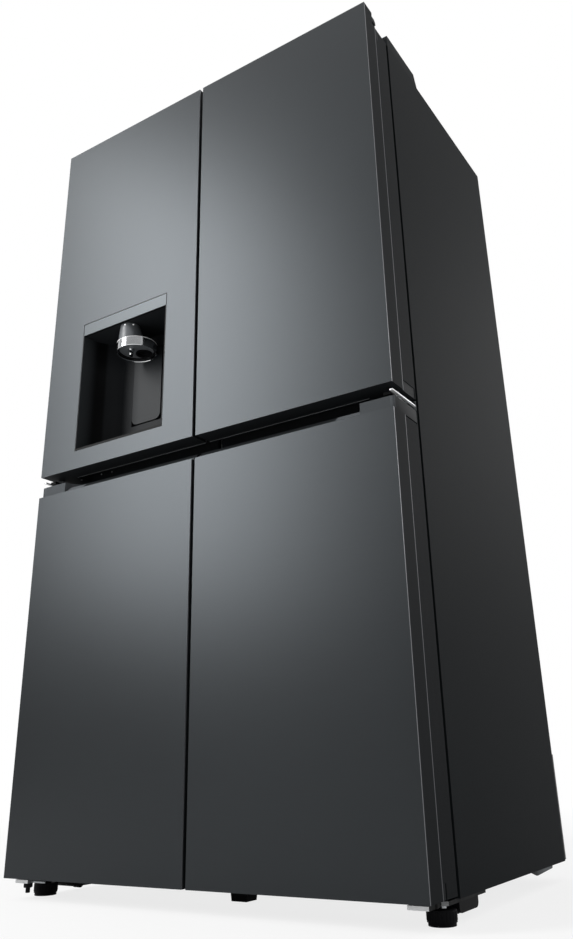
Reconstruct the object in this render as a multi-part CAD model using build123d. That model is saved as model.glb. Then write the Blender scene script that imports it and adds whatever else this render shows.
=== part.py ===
"""French door refrigerator with four doors and an ice and water dispenser.

Frame: +X to the viewer's right, +Y from the door fronts to the back, +Z up.
The origin is the middle of the bounding box at floor level.  Depths written as
d are measured backwards from the plane of the door fronts.  Millimetres.
"""
from build123d import *
import os

os.makedirs("parts", exist_ok=True)

# ------------------------------------------------------------ overall size
WIDTH = 912.0
HEIGHT = 1788.0
DEPTH = 680.0
FRONT = -DEPTH / 2
SIDE_X = WIDTH / 2

# ------------------------------------------------------------ clearances
SEAT = 0.3          # a moving piece above or in front of what carries it
RUN = 0.05          # radial clearance of a pin or shaft in its hole
FIT = 0.5           # a fixed piece inside the opening it fills
REACH_OUT = 1.0     # how far a cutting block runs past the face it cuts

# ------------------------------------------------------------ doors
CENTRE_GAP = 9.0
DOOR_DEPTH = 103.0
WRAP_DEPTH = 48.0       # how far the steel skin turns back along a door's sides
SKIN = 1.0
DOOR_LINER = 2.5
LINER_INSET = 1.0       # the liner's side stands in from the skin's side
CABINET_BOTTOM = 34.0
LOWER_DOOR_LIFT = 4.0   # the lower doors start above the cabinet's bottom
LOWER_DOOR_BOTTOM = CABINET_BOTTOM + LOWER_DOOR_LIFT
LOWER_SKIN_HEIGHT = 778.0
LOWER_SKIN_TOP = LOWER_DOOR_BOTTOM + LOWER_SKIN_HEIGHT
GRIP_HEAD_HEIGHT = 26.5
LOWER_DOOR_TOP = LOWER_SKIN_TOP + GRIP_HEAD_HEIGHT
LEVEL_GAP = 23.1        # between the lower and the upper doors
UPPER_DOOR_BOTTOM = LOWER_DOOR_TOP + LEVEL_GAP
END_CAP = 22.0          # height of the plain moulded caps in the skin's ends
CAP_OVERLAP = 4.0       # how far the top cap reaches down inside the skin
RIDGE_HEIGHT = 32.0     # of the front ridge over the ledge behind it
DOOR_LEDGE = HEIGHT - RIDGE_HEIGHT
RIDGE_DEPTH = 35.5
HINGE_HOOD_REACH = 16.5
HINGE_HOOD_DEPTH = RIDGE_DEPTH + HINGE_HOOD_REACH
HINGE_HOOD_DROP = 11.0
HINGE_HOOD_TOP = HEIGHT - HINGE_HOOD_DROP
HINGE_HOOD_WIDTH = 44.0
HINGE_HOOD_BEVEL = 6.0
DOOR_X0 = CENTRE_GAP / 2
DOOR_X1 = SIDE_X

# grip recesses along the gap between the upper and lower doors
GRIP_SETBACK = 9.5
GRIP_END_INSET = 10.0
GRIP_MARGIN = 70.0      # from the refrigerator's side to the recess's far end
GRIP_REACH = SIDE_X - GRIP_MARGIN
GRIP_DEPTH = 56.0
GRIP_END_FIRST = 6.0    # steps of the soft far end of the recess
GRIP_END_SECOND = 22.0
GRIP_END_CURVE = 52.0
GRIP_FLOOR = 5.0        # above the top of the lower skin
LIP_LEAN = 12.5         # the recess's front lip leans back by this
LIP_FRONT = GRIP_SETBACK + LIP_LEAN
LIP_THICK = 6.0
LIP_HEIGHT = 16.0       # above the top of the lower skin
UPPER_GRIP_FRONT = WRAP_DEPTH
UPPER_GRIP_WIDTH = 42.0
UPPER_GRIP_BACK = UPPER_GRIP_FRONT + UPPER_GRIP_WIDTH
UPPER_GRIP_RISE = 17.0
NECK_DROP = 2.0         # the grip cap's neck stops below the skin's top edge

# ------------------------------------------------------------ gaskets
GASKET_GAP = 7.0        # door flange to cabinet face
GASKET_WIDTH = 16.0
GASKET_EDGE = 8.5       # from a door's free side
GASKET_INSET = 25.0     # from a door's hinge side
GASKET_INNER_X = DOOR_X0 + GASKET_EDGE
GASKET_OUTER_X = DOOR_X1 - GASKET_INSET
GASKET_MARGIN = 9.0     # above a door's bottom and below its top

# ------------------------------------------------------------ cabinet
CABINET_FRONT = DOOR_DEPTH + GASKET_GAP
REAR_SPACE = 16.0       # kept free to the wall by the spacers
CABINET_BACK = DEPTH - REAR_SPACE
CABINET_DROP = 34.0     # below the top of the doors
CABINET_TOP = HEIGHT - CABINET_DROP
SHEET = 1.0
FLANGE_WIDTH = 28.0     # folded front edge of the shell
FLANGE_X = SIDE_X - FLANGE_WIDTH
FLANGE_TOP = CABINET_TOP - FLANGE_WIDTH
PAN = 2.0
BACK_SHEET = 2.0
PRESS_SIDE = 90.0       # margins of the pressed field of the back panel
PRESS_LOW = 110.0
PRESS_HIGH = 160.0

LINER = 2.0
WALL_INSULATION = 56.0
CAVITY_X = SIDE_X - WALL_INSULATION
FRIDGE_SILL = 27.4      # fridge floor above the bottom of the upper doors
FRIDGE_FLOOR = UPPER_DOOR_BOTTOM + FRIDGE_SILL
FRIDGE_CEILING = CABINET_TOP - WALL_INSULATION
BACK_INSULATION = 64.0
FRIDGE_BACK = CABINET_BACK - BACK_INSULATION
FREEZER_SILL = 70.0     # freezer floor above the bottom of the lower doors
FREEZER_FLOOR = LOWER_DOOR_BOTTOM + FREEZER_SILL
FREEZER_HEADER = 19.5   # freezer ceiling below the top of the lower doors
FREEZER_CEILING = LOWER_DOOR_TOP - FREEZER_HEADER
FREEZER_INSULATION = 74.0
FREEZER_BACK = CABINET_BACK - FREEZER_INSULATION
BASE_FACE_TOP = FREEZER_FLOOR - FLANGE_WIDTH
RAIL_SHEET = 3.0
CENTRE_WALL = 30.0      # half thickness of the wall between the freezers
LINER_SEAM = 0.6        # joint between the two freezer liners' front strips
BAY_DEPTH = 224.0       # compressor bay
BAY_FRONT = CABINET_BACK - BAY_DEPTH
BAY_HEIGHT = 204.0
BAY_TOP = CABINET_BOTTOM + BAY_HEIGHT
BAY_INSULATION = 52.0

# ------------------------------------------------------------ hinges
HINGE_INSET = 18.0
HINGE_X = SIDE_X - HINGE_INSET
HINGE_D = WRAP_DEPTH
HINGE_PIN_R = 5.0
HINGE_PLATE = 6.0
KNUCKLE_R = 10.0
KNUCKLE_INSET = 2.0
PIN_REACH = 24.0
PIN_ROOM = 6.0          # a pin stops this far short of its bore's end
BOSS_HALF = 14.0
ARM_INNER = 33.0        # from the pin to an arm's inner edge
BOTTOM_ARM_INNER = 29.0 # the bottom arm's nose is as wide as its back
ARM_OUTER = 12.0        # from the pin to an arm's outer edge
ARM_WAIST = 3.0         # clears the door's ridge when the door is fully open
ARM_NECK = 27.0         # behind the pin, where an arm widens
ARM_NOSE = 28.0         # ahead of the pin on the middle and bottom arms
TOP_ARM_REACH = 105.0
TOP_ARM_BACK = CABINET_FRONT + TOP_ARM_REACH
BOTTOM_ARM_REACH = 120.0
BOTTOM_ARM_BACK = CABINET_FRONT + BOTTOM_ARM_REACH
TOP_ARM_GAP = 1.0
HINGE_PAD_INSET = 6.0
HINGE_SCREW_R = 7.0
HINGE_SCREW_HEAD = 4.0
HINGE_SCREW_FIRST = 30.0
HINGE_SCREW_PITCH = 50.0
HINGE_FOOT_SIDE = 3.0   # the middle hinge's foot is wider than its arm
HINGE_FOOT_SHEET = 4.0
COVER_REACH = 156.0
COVER_BACK = CABINET_FRONT + COVER_REACH
COVER_DROP = 2.0
COVER_TOP = HEIGHT - COVER_DROP
COVER_WIDTH = 126.0
COVER_X = SIDE_X - COVER_WIDTH
COVER_WALL = 2.0
COVER_SLOPE = 14.0
COVER_OVERHANG = 2.0    # ahead of the cabinet's face

# ------------------------------------------------------------ dispenser
DISP_SHIFT = 10.75      # from the door's middle towards the centre gap
DISP_X = DISP_SHIFT - (DOOR_X0 + DOOR_X1) / 2
DISP_HALF = 131.0
DISP_SILL = 43.4        # above the bottom of the upper door
DISP_BOTTOM = UPPER_DOOR_BOTTOM + DISP_SILL
DISP_HEIGHT = 327.5
DISP_TOP = DISP_BOTTOM + DISP_HEIGHT
PANEL_HEIGHT = 31.5
DISP_WALL = 2.5
DISP_DEPTH = DOOR_DEPTH - DOOR_LINER - DISP_WALL
DISP_BACK_HALF = 85.0
DISP_FLARE = 8.0        # each rear corner of the recess is eased by this
POCKET_DEPTH = 16.0
NOZZLE_D = 48.0
NOZZLE_DROP = 65.0      # below the recess's ceiling
NOZZLE_Z = DISP_TOP - PANEL_HEIGHT - NOZZLE_DROP
NOZZLE_R = 47.0
NOZZLE_NECK_R = 32.0
NOZZLE_NECK_SIDE = 5.0
NOZZLE_NECK_AHEAD = 12.0
NOZZLE_TOP_R = 23.0
NOZZLE_TOP_SIDE = 8.0
NOZZLE_TOP_AHEAD = 17.0
RING_HEIGHT = 23.0
RING_WALL = 2.5
DISC_SINK = 8.0         # the disc lies this far up inside the ring
CHUTE_R = 19.0
CHUTE_ROOF = 3.0
CHUTE_LENGTH = RING_HEIGHT - CHUTE_ROOF
CHUTE_SETBACK = 21.0
CHUTE_D = NOZZLE_D + CHUTE_SETBACK
CHUTE_SIDE = 4.0
SPOUT_R = 5.0
SPOUT_WALL = 1.5
SPOUT_DROP = 12.0
SPOUT_SIDE = 3.0
SPOUT_AHEAD = 14.0
PADDLE_SIDE = 7.0       # off the recess's middle, towards the hinge
PADDLE_X = DISP_X - PADDLE_SIDE
PADDLE_HALF = 44.0
PADDLE_LIFT = 75.0      # above the bottom of the recess
PADDLE_BOTTOM = DISP_BOTTOM + PADDLE_LIFT
PADDLE_HEIGHT = 186.0
PADDLE_TOP = PADDLE_BOTTOM + PADDLE_HEIGHT
PADDLE_THICK = 5.0
PADDLE_PROUD = 2.0
PADDLE_CORNER = 16.0
PADDLE_GAP = 2.5
PADDLE_PIN_R = 2.5
BARREL_WALL = 3.0

# ------------------------------------------------------------ door insides
DYKE_INNER_MARGIN = 14.0
DYKE_INNER_X = CENTRE_WALL + DYKE_INNER_MARGIN
UPPER_DYKE_MARGIN = 10.0
UPPER_DYKE_OUTER_X = CAVITY_X - UPPER_DYKE_MARGIN
LOWER_DYKE_MARGIN = 32.0
LOWER_DYKE_OUTER_X = CAVITY_X - LOWER_DYKE_MARGIN
UPPER_DYKE_HEIGHT = 27.0
UPPER_DYKE_DEPTH = DOOR_DEPTH + UPPER_DYKE_HEIGHT
LOWER_DYKE_HEIGHT = 10.0
LOWER_DYKE_DEPTH = DOOR_DEPTH + LOWER_DYKE_HEIGHT
DYKE_PANEL_SINK = 6.0
DYKE_WIDTH = 26.0
DYKE_MARGIN = 15.0      # from the cavity's floor and ceiling
LEFT_DYKE_INNER_X = 58.0
BULGE_HEIGHT = 47.0
BULGE_DEPTH = DOOR_DEPTH + BULGE_HEIGHT
BULGE_HEADROOM = 51.5
BULGE_TOP = DISP_TOP + BULGE_HEADROOM
BIN_REACH = 119.0
BIN_BACK = DOOR_DEPTH + BIN_REACH
BIN_WALL = 2.5
BIN_HEIGHT = 105.0
BIN_BEAD = 5.0
BIN_BEAD_HEIGHT = 16.0
BIN_FIRST = 45.0        # lowest bins above the fridge floor
RIGHT_BIN_PITCH = 235.0
LEFT_BIN_PITCH = 190.0
ICE_BOX_REACH = 127.0
ICE_BOX_BACK = DOOR_DEPTH + ICE_BOX_REACH
ICE_BOX_DROP = 50.0
ICE_BOX_TOP = FRIDGE_CEILING - ICE_BOX_DROP
ICE_BOX_WALL = 12.0
ICE_BOX_MARGIN = 4.0
LID_INSET = 14.0
LID_GROOVE = 4.0
LID_GROOVE_DEPTH = 3.0
MULLION_X = 30.0
MULLION_HALF = 8.0
MULLION_D = CABINET_FRONT + MULLION_HALF + FIT
MULLION_LENGTH = 56.0
LUG_HEIGHT = 8.0
LUG_REACH = 6.0
LUG_CLEAR = 2.0

# ------------------------------------------------------------ shelves, drawers
SHELF_SETBACK = 8.0
SHELF_FRONT = ICE_BOX_BACK + SHELF_SETBACK
SHELF_REAR_GAP = 20.0
SHELF_BACK = FRIDGE_BACK - SHELF_REAR_GAP
SHELF_FIRST = 217.0     # lowest shelf above the fridge floor
SHELF_PITCH = 189.0
SHELF_HEADROOM = 150.0
SHELF_FRAME = 14.0
SHELF_FRAME_WIDTH = 16.0
SHELF_LIP = 6.0
GLASS = 4.0
GLASS_GAP = 0.2
RIB = 8.0
CRISPER_CLEAR = 5.0
CRISPER_FRONT = BIN_BACK + RIB + CRISPER_CLEAR
CRISPER_SIDE_GAP = 15.0
CRISPER_X = CAVITY_X - CRISPER_SIDE_GAP
CRISPER_INNER_X = 8.0
CRISPER_HEIGHT = 200.0
CRISPER_LIP = 14.0
DRAWER_WALL = 2.5
DRAWER_FRONT_WALL = 6.0
DRAWER_SIDE_GAP = 18.0
DRAWER_INNER_X = CENTRE_WALL + DRAWER_SIDE_GAP
DRAWER_OUTER_GAP = 28.0
DRAWER_OUTER_X = CAVITY_X - DRAWER_OUTER_GAP
DRAWER_SETBACK = 9.0
DRAWER_FRONT = LOWER_DYKE_DEPTH + DRAWER_SETBACK
DRAWER_REAR_GAP = 8.0
RUNNER = 12.0
DRAWER_SPACE = 36.0     # from the lower drawer's top to the upper drawer's floor
DRAWER_HEADROOM = 47.0
DRAWER_HEIGHT = (FREEZER_CEILING - FREEZER_FLOOR - RUNNER - DRAWER_SPACE - DRAWER_HEADROOM) / 2
DRAWER_TUB_SHARE = 0.8
LOWER_DRAWER_FLOOR = FREEZER_FLOOR + RUNNER
UPPER_DRAWER_FLOOR = LOWER_DRAWER_FLOOR + DRAWER_HEIGHT + DRAWER_SPACE
SLOT_HALF = 70.0        # finger slot in a drawer's front
SLOT_LOW = 48.0
SLOT_HIGH = 20.0

# ------------------------------------------------------------ machinery
DUCT_SPACE = 60.0
DUCT_D = FREEZER_BACK - DUCT_SPACE
DUCT_SHEET = 3.0
DUCT_LIFT = 8.0
DUCT_SLOT = 10.0
DUCT_SLOT_MARGIN = 60.0
FREEZER_DUCT_BOTTOM = BAY_TOP + BAY_INSULATION + DUCT_LIFT
VENT_HALF = 115.0
VENT_THICK = 16.0
VENT_LIFT = 40.0
VENT_SLOT_X = 62.0
VENT_SLOT_HALF = 32.0
VENT_SLOT_HEIGHT = 8.0
VENT_SLOT_LIFT = 90.0
FAN_R = 58.0
FAN_BORE_R = 3.0
FAN_HUB_R = 17.0
FAN_BLADES = 5
FAN_PITCH_DEG = 28
BLADE_SHEET = 2.0
BLADE_ROOT = 4.0
BLADE_WIDTH = 16.0
MOTOR_R = 20.0
MOTOR_GAP = 4.0
FREEZER_FAN_TRIM = 4.0
FREEZER_FAN_X = -(CENTRE_WALL + CAVITY_X) / 2
FREEZER_FAN_DROP = 100.0
FREEZER_FAN_Z = FREEZER_CEILING - FREEZER_FAN_DROP
FREEZER_FAN_SETBACK = 15.0
FREEZER_FAN_D = DUCT_D + FREEZER_FAN_SETBACK
EVAPORATOR_SIDE = 30.0
EVAPORATOR_LOW = 30.0
EVAPORATOR_HIGH = 40.0
EVAPORATOR_INSET = 6.0
EVAPORATOR_FIN = 2.0
BAY_MIDDLE_D = BAY_FRONT + BAY_DEPTH / 2
COMPRESSOR_FROM_SIDE = 241.0
COMPRESSOR_X = SIDE_X - COMPRESSOR_FROM_SIDE
COMPRESSOR_R = 72.0
COMPRESSOR_HEIGHT = 150.0
COMPRESSOR_DOME = 26.0
COMPRESSOR_LIFT = 12.0
COMPRESSOR_PLATE_X = 95.0
COMPRESSOR_PLATE_D = 55.0
COMPRESSOR_PLATE = 5.0
GROMMET_X = 80.0
GROMMET_D = 42.0
GROMMET_R = 11.0
GROMMET_HEIGHT = 14.0
STUB_LENGTH = 40.0
STUB_R = 5.0
STUB_LIFT = 110.0
STUB_SINK = 6.0
CONDENSER_FAN_AWAY = 175.0
CONDENSER_FAN_X = COMPRESSOR_X - CONDENSER_FAN_AWAY
CONDENSER_AWAY = 220.0
CONDENSER_X = CONDENSER_FAN_X - CONDENSER_AWAY
CONDENSER_FAN_LIFT = 97.0
CONDENSER_FAN_Z = CABINET_BOTTOM + PAN + CONDENSER_FAN_LIFT
CONDENSER_HALF_X = 120.0
CONDENSER_HALF_D = 70.0
CONDENSER_HEIGHT = 150.0
CONDENSER_FIN = 3.0
CONDENSER_FIN_RISE = 15.0
CONDENSER_FIN_MARGIN = 8.0
FIN_PITCH = 16.0
FIN_MARGIN = 4.0
SHROUD_AWAY = 40.0
SHROUD_WALL = 4.0
SHROUD_HEIGHT = 190.0
SHROUD_BRIDGE = 18.0
SHROUD_FLOOR = 3.0
TIP_GAP = 4.0

# ------------------------------------------------------------ underside
FOOT_INSET = 23.6
FOOT_X = SIDE_X - FOOT_INSET
FOOT_AHEAD = 21.0       # ahead of the cabinet's face
FOOT_D = CABINET_FRONT - FOOT_AHEAD
FOOT_R = 23.0
FOOT_BASE_R = 21.5
FOOT_BASE_HEIGHT = 5.0
FOOT_HEIGHT = 22.0
FOOT_NUT_R = 10.0
FOOT_STUD_R = 6.0
CENTRE_FOOT_BEHIND = 65.0
CENTRE_FOOT_D = CABINET_FRONT + CENTRE_FOOT_BEHIND
CENTRE_FOOT_LIFT = 0.5
CENTRE_FOOT_LENGTH = 32.0
CENTRE_FOOT_HALF_LOW = 17.0
CENTRE_FOOT_HALF_HIGH = 22.0
FRONT_ROLLER_BEHIND = 54.0
FRONT_ROLLER_D = CABINET_FRONT + FRONT_ROLLER_BEHIND
FRONT_ROLLER_R = 9.5
FRONT_ROLLER_LIFT = 5.0
FRONT_ROLLER_INSET = 36.0
FRONT_ROLLER_X = SIDE_X - FRONT_ROLLER_INSET
HOUSING_HALF_X = 27.0
HOUSING_HALF_D = 39.0
HOUSING_BOTTOM = 11.0
HOUSING_CORNER = 9.0
REAR_ROLLER_AHEAD = 74.0
REAR_ROLLER_D = CABINET_BACK - REAR_ROLLER_AHEAD
REAR_ROLLER_R = 16.0
REAR_ROLLER_INSET = 161.0
REAR_ROLLER_X = SIDE_X - REAR_ROLLER_INSET
ROLLER_WIDTH = 16.0
ROLLER_SIDE_GAP = 1.0
WELL_GAP = 2.0
AXLE_R = 2.5
AXLE_INSET = 2.0
CARRIER_SHEET = 1.5
CARRIER_EAR = 3.0
EAR_HALF = 14.0
EAR_DROP = 8.0
REAR_FLANGE_INSET = 10.0
REAR_FLANGE_X = SIDE_X - REAR_FLANGE_INSET
REAR_FLANGE_LENGTH = 140.0
REAR_FLANGE_AHEAD = 56.0    # of the cabinet's back
REAR_FLANGE_BACK = CABINET_BACK - REAR_FLANGE_AHEAD
REAR_FLANGE_FRONT = REAR_FLANGE_BACK - REAR_FLANGE_LENGTH
REAR_FLANGE_DROP = 11.5
REAR_FLANGE_TAPER = 4.0
REAR_FLANGE_NOSE = 44.0   # length of the sloping front end
REAR_FLANGE_CORNER = 3.0

# ------------------------------------------------------------ rear fittings
COVER_PLATE_STEP = 12.0
COVER_PLATE_D = CABINET_BACK + COVER_PLATE_STEP
LOUVRE_ROWS = 6
LOUVRE_FIRST = 36.0
LOUVRE_PITCH = 26.0
LOUVRE_LENGTH = 110.0
LOUVRE_HEIGHT = 8.0
LOUVRE_STEP = 150.0
LOUVRE_COUNT = 5
LOUVRE_START = -360.0
INLET_INSET = 126.0
INLET_X = INLET_INSET - SIDE_X
INLET_LIFT = 80.0
INLET_Z = BAY_TOP + INLET_LIFT
INLET_HALF = 18.0
INLET_BORE_R = 3.2
INLET_BORE_LENGTH = 12.0
GLAND_INSET = 76.0
GLAND_X = SIDE_X - GLAND_INSET
GLAND_LIFT = 34.0
GLAND_Z = CABINET_BOTTOM + GLAND_LIFT
GLAND_HALF = 14.0
SPACER_INSET = 76.0
SPACER_X = SIDE_X - SPACER_INSET
SPACER_HALF = 22.0
SPACER_HEIGHT = 40.0
SPACER_DROP = 66.0
SPACER_Z = CABINET_TOP - SPACER_DROP


def levels(first, pitch, room):
    """Evenly spaced heights above the fridge floor, as many as there is room for."""
    count = int((room - first) // pitch) + 1
    return [FRIDGE_FLOOR + first + pitch * step for step in range(count)]


FRIDGE_ROOM = FRIDGE_CEILING - FRIDGE_FLOOR
SHELF_LEVELS = levels(SHELF_FIRST, SHELF_PITCH, FRIDGE_ROOM - SHELF_HEADROOM)
RIGHT_BIN_FLOORS = levels(BIN_FIRST, RIGHT_BIN_PITCH, FRIDGE_ROOM - DYKE_MARGIN - BIN_HEIGHT)
LEFT_BIN_FLOORS = levels(BIN_FIRST, LEFT_BIN_PITCH, BULGE_TOP - FRIDGE_FLOOR - BIN_HEIGHT)


# ------------------------------------------------------------ helpers
def block(x0, x1, d0, d1, z0, z1):
    """A box between two corners, with depths behind the door fronts."""
    centre = Pos((x0 + x1) / 2, FRONT + (d0 + d1) / 2, (z0 + z1) / 2)
    return centre * Box(x1 - x0, d1 - d0, z1 - z0)


def rod(start, direction, length, radius, top_radius=None):
    """A cylinder or cone from a start point (x, d, z) along a direction."""
    x, d, z = start
    plane = Plane(origin=(x, FRONT + d, z), z_dir=direction)
    base = (Align.CENTER, Align.CENTER, Align.MIN)
    if top_radius is None:
        return plane.location * Cylinder(radius, length, align=base)
    return plane.location * Cone(radius, top_radius, length, align=base)


def prism(points, z0, z1):
    """An upright prism over a plan outline of (x, d) points."""
    outline = Polyline([(x, FRONT + d, z0) for x, d in points], close=True)
    return extrude(make_face(outline), z1 - z0, dir=(0, 0, 1))


def side_prism(points, x0, x1):
    """A prism along X over an outline of (d, z) points."""
    outline = Polyline([(x0, FRONT + d, z) for d, z in points], close=True)
    return extrude(make_face(outline), x1 - x0, dir=(1, 0, 0))


def flip(shape):
    """The same piece on the other side of the middle plane."""
    return mirror(shape, about=Plane.YZ)


def both(shape):
    return [shape, flip(shape)]


def ring(x0, x1, d0, d1, z0, z1, width):
    """A rectangular frame seen from the front."""
    hole = block(x0 + width, x1 - width, d0 - 1, d1 + 1, z0 + width, z1 - width)
    return block(x0, x1, d0, d1, z0, z1) - hole


def tub(x0, x1, d0, d1, z0, z1, wall):
    """A box open at the top."""
    hollow = block(x0 + wall, x1 - wall, d0 + wall, d1 - wall, z0 + wall, z1 + 1)
    return block(x0, x1, d0, d1, z0, z1) - hollow


def save(name, *pieces):
    """Write the solids of one node."""
    solids = []
    for piece in pieces:
        group = piece if isinstance(piece, (list, tuple)) else [piece]
        for shape in group:
            solids.extend(shape.solids())
    model = solids[0] if len(solids) == 1 else Compound(solids)
    model.label = name
    export_step(model, "parts/" + name + ".step")


# ------------------------------------------------------------ cabinet
def cabinet_shell():
    """Folded steel sheet: two sides, the top and the narrow front return."""
    x = SIDE_X
    outer = block(-x, x, CABINET_FRONT, CABINET_BACK, CABINET_BOTTOM, CABINET_TOP)
    inside = block(-x + SHEET, x - SHEET, CABINET_FRONT + SHEET, CABINET_BACK + 1,
                   CABINET_BOTTOM - 1, CABINET_TOP - SHEET)
    mouth = block(-FLANGE_X, FLANGE_X, CABINET_FRONT - 1, CABINET_FRONT + SHEET + 1,
                  CABINET_BOTTOM - 1, FLANGE_TOP)
    return outer - inside - mouth


def fridge_space(grow):
    """The fresh food cavity, grown by a wall."""
    return block(-CAVITY_X - grow, CAVITY_X + grow, CABINET_FRONT - 1, FRIDGE_BACK + grow,
                 FRIDGE_FLOOR - grow, FRIDGE_CEILING + grow)


def freezer_space(grow):
    """The right freezer cavity with the step over the compressor bay."""
    step_d = BAY_FRONT - BAY_INSULATION + grow
    step_z = BAY_TOP + BAY_INSULATION - grow
    space = block(CENTRE_WALL - grow, CAVITY_X + grow, CABINET_FRONT - 1,
                  FREEZER_BACK + grow, FREEZER_FLOOR - grow, FREEZER_CEILING + grow)
    return space - block(0, SIDE_X, step_d, CABINET_BACK, 0, step_z)


def bay_space():
    x = SIDE_X - SHEET
    return block(-x, x, BAY_FRONT, CABINET_BACK + 1, CABINET_BOTTOM - 1, BAY_TOP)


def cabinet_foam():
    """Foamed-in insulation between the shell and the liners."""
    x = SIDE_X - SHEET
    body = block(-x, x, CABINET_FRONT + LINER, CABINET_BACK,
                 CABINET_BOTTOM + PAN, CABINET_TOP - SHEET)
    rail = block(-FLANGE_X, FLANGE_X, CABINET_FRONT, CABINET_FRONT + RAIL_SHEET,
                 FREEZER_CEILING + LINER, FRIDGE_FLOOR - LINER)
    right = freezer_space(LINER)
    step = block(-x, x, BAY_FRONT - PAN, CABINET_BACK + 1, CABINET_BOTTOM, BAY_TOP + PAN)
    return body - fridge_space(LINER) - right - flip(right) - step - rail


def fridge_liner():
    """Moulded liner with shelf ribs on its sides and glide ribs on its floor."""
    shell = fridge_space(LINER) - fridge_space(0)
    flange = block(-FLANGE_X, FLANGE_X, CABINET_FRONT, CABINET_FRONT + LINER,
                   FRIDGE_FLOOR - LINER, FLANGE_TOP) - fridge_space(0)
    keep = block(-WIDTH, WIDTH, CABINET_FRONT, CABINET_BACK, 0, HEIGHT)
    liner = (shell & keep) + flange
    for level in SHELF_LEVELS:
        rib = block(CAVITY_X - RIB, CAVITY_X, SHELF_FRONT, FRIDGE_BACK, level - RIB, level)
        liner = liner + rib + flip(rib)
    for x in (0, CRISPER_X - RIB, -CRISPER_X + RIB):
        liner = liner + block(x - RIB * 1.5, x + RIB * 1.5, SHELF_FRONT, FRIDGE_BACK,
                              FRIDGE_FLOOR, FRIDGE_FLOOR + RIB / 2)
    return liner


def freezer_runners():
    """Ribs that carry the two drawers of the right freezer."""
    lower_back = BAY_FRONT - BAY_INSULATION
    rows = ((LOWER_DRAWER_FLOOR, lower_back), (UPPER_DRAWER_FLOOR, DUCT_D - FIT))
    ribs = []
    for top, back in rows:
        inner = (CENTRE_WALL, DRAWER_INNER_X + RIB)
        outer = (DRAWER_OUTER_X - RIB, CAVITY_X)
        for x0, x1 in (inner, outer):
            ribs.append(block(x0, x1, DRAWER_FRONT + RUNNER, back, top - RUNNER, top))
    return ribs


def freezer_liner():
    """Two moulded freezer cavities, each with its half of the front strip."""
    keep = block(-WIDTH, WIDTH, CABINET_FRONT, CABINET_BACK, 0, HEIGHT)
    right = (freezer_space(LINER) - freezer_space(0)) & keep
    for rib in freezer_runners():
        right = right + rib
    flange = block(LINER_SEAM / 2, FLANGE_X, CABINET_FRONT, CABINET_FRONT + LINER,
                   BASE_FACE_TOP, FREEZER_CEILING + LINER)
    right = right + (flange - freezer_space(0))
    return both(right)


def mid_rail():
    """Steel cross rail between the fridge and the freezers, with hinge pads."""
    z0 = FREEZER_CEILING + LINER
    z1 = FRIDGE_FLOOR - LINER
    rail = block(-FLANGE_X, FLANGE_X, CABINET_FRONT, CABINET_FRONT + RAIL_SHEET, z0, z1)
    return rail


def base_pan():
    """Stepped steel base with the front face below the freezers."""
    x = SIDE_X - SHEET
    floor = block(-x, x, CABINET_FRONT + SHEET, CABINET_BACK, CABINET_BOTTOM,
                  CABINET_BOTTOM + PAN)
    face = block(-FLANGE_X, FLANGE_X, CABINET_FRONT, CABINET_FRONT + LINER,
                 CABINET_BOTTOM, BASE_FACE_TOP)
    step = block(-x, x, BAY_FRONT - PAN, BAY_FRONT, CABINET_BOTTOM, BAY_TOP + PAN)
    roof = block(-x, x, BAY_FRONT - PAN, CABINET_BACK, BAY_TOP, BAY_TOP + PAN)
    return floor + face + step + roof


def back_panel():
    """Rear sheet with a pressed panel and moulded wall spacers."""
    x = SIDE_X
    sheet = block(-x, x, CABINET_BACK, CABINET_BACK + BACK_SHEET, BAY_TOP, CABINET_TOP)
    press = block(-x + PRESS_SIDE, x - PRESS_SIDE, CABINET_BACK + BACK_SHEET,
                  CABINET_BACK + BACK_SHEET * 2, BAY_TOP + PRESS_LOW, CABINET_TOP - PRESS_HIGH)
    panel = sheet + press
    for side in (-1, 1):
        x0 = side * SPACER_X
        panel = panel + block(x0 - SPACER_HALF, x0 + SPACER_HALF, CABINET_BACK, DEPTH,
                              SPACER_Z, SPACER_Z + SPACER_HEIGHT)
    return panel


def compressor_cover():
    """Louvred steel cover over the compressor bay."""
    x = SIDE_X - SHEET - FIT
    z0 = CABINET_BOTTOM + PAN
    z1 = BAY_TOP - FIT
    cover = block(-x, x, COVER_PLATE_D - SHEET, COVER_PLATE_D, z0, z1)
    for lip in (block(-x, x, CABINET_BACK, COVER_PLATE_D, z1 - SHEET, z1),
                block(-x, x, CABINET_BACK, COVER_PLATE_D, z0, z0 + SHEET),
                block(-x, -x + SHEET, CABINET_BACK, COVER_PLATE_D, z0, z1),
                block(x - SHEET, x, CABINET_BACK, COVER_PLATE_D, z0, z1)):
        cover = cover + lip
    slots = []
    for row in range(LOUVRE_ROWS):
        z = z0 + LOUVRE_FIRST + row * LOUVRE_PITCH
        for step in range(LOUVRE_COUNT):
            x0 = LOUVRE_START + step * LOUVRE_STEP
            slots.append(block(x0, x0 + LOUVRE_LENGTH, COVER_PLATE_D - SHEET - REACH_OUT,
                               COVER_PLATE_D + REACH_OUT, z, z + LOUVRE_HEIGHT))
    return cover - slots


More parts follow.
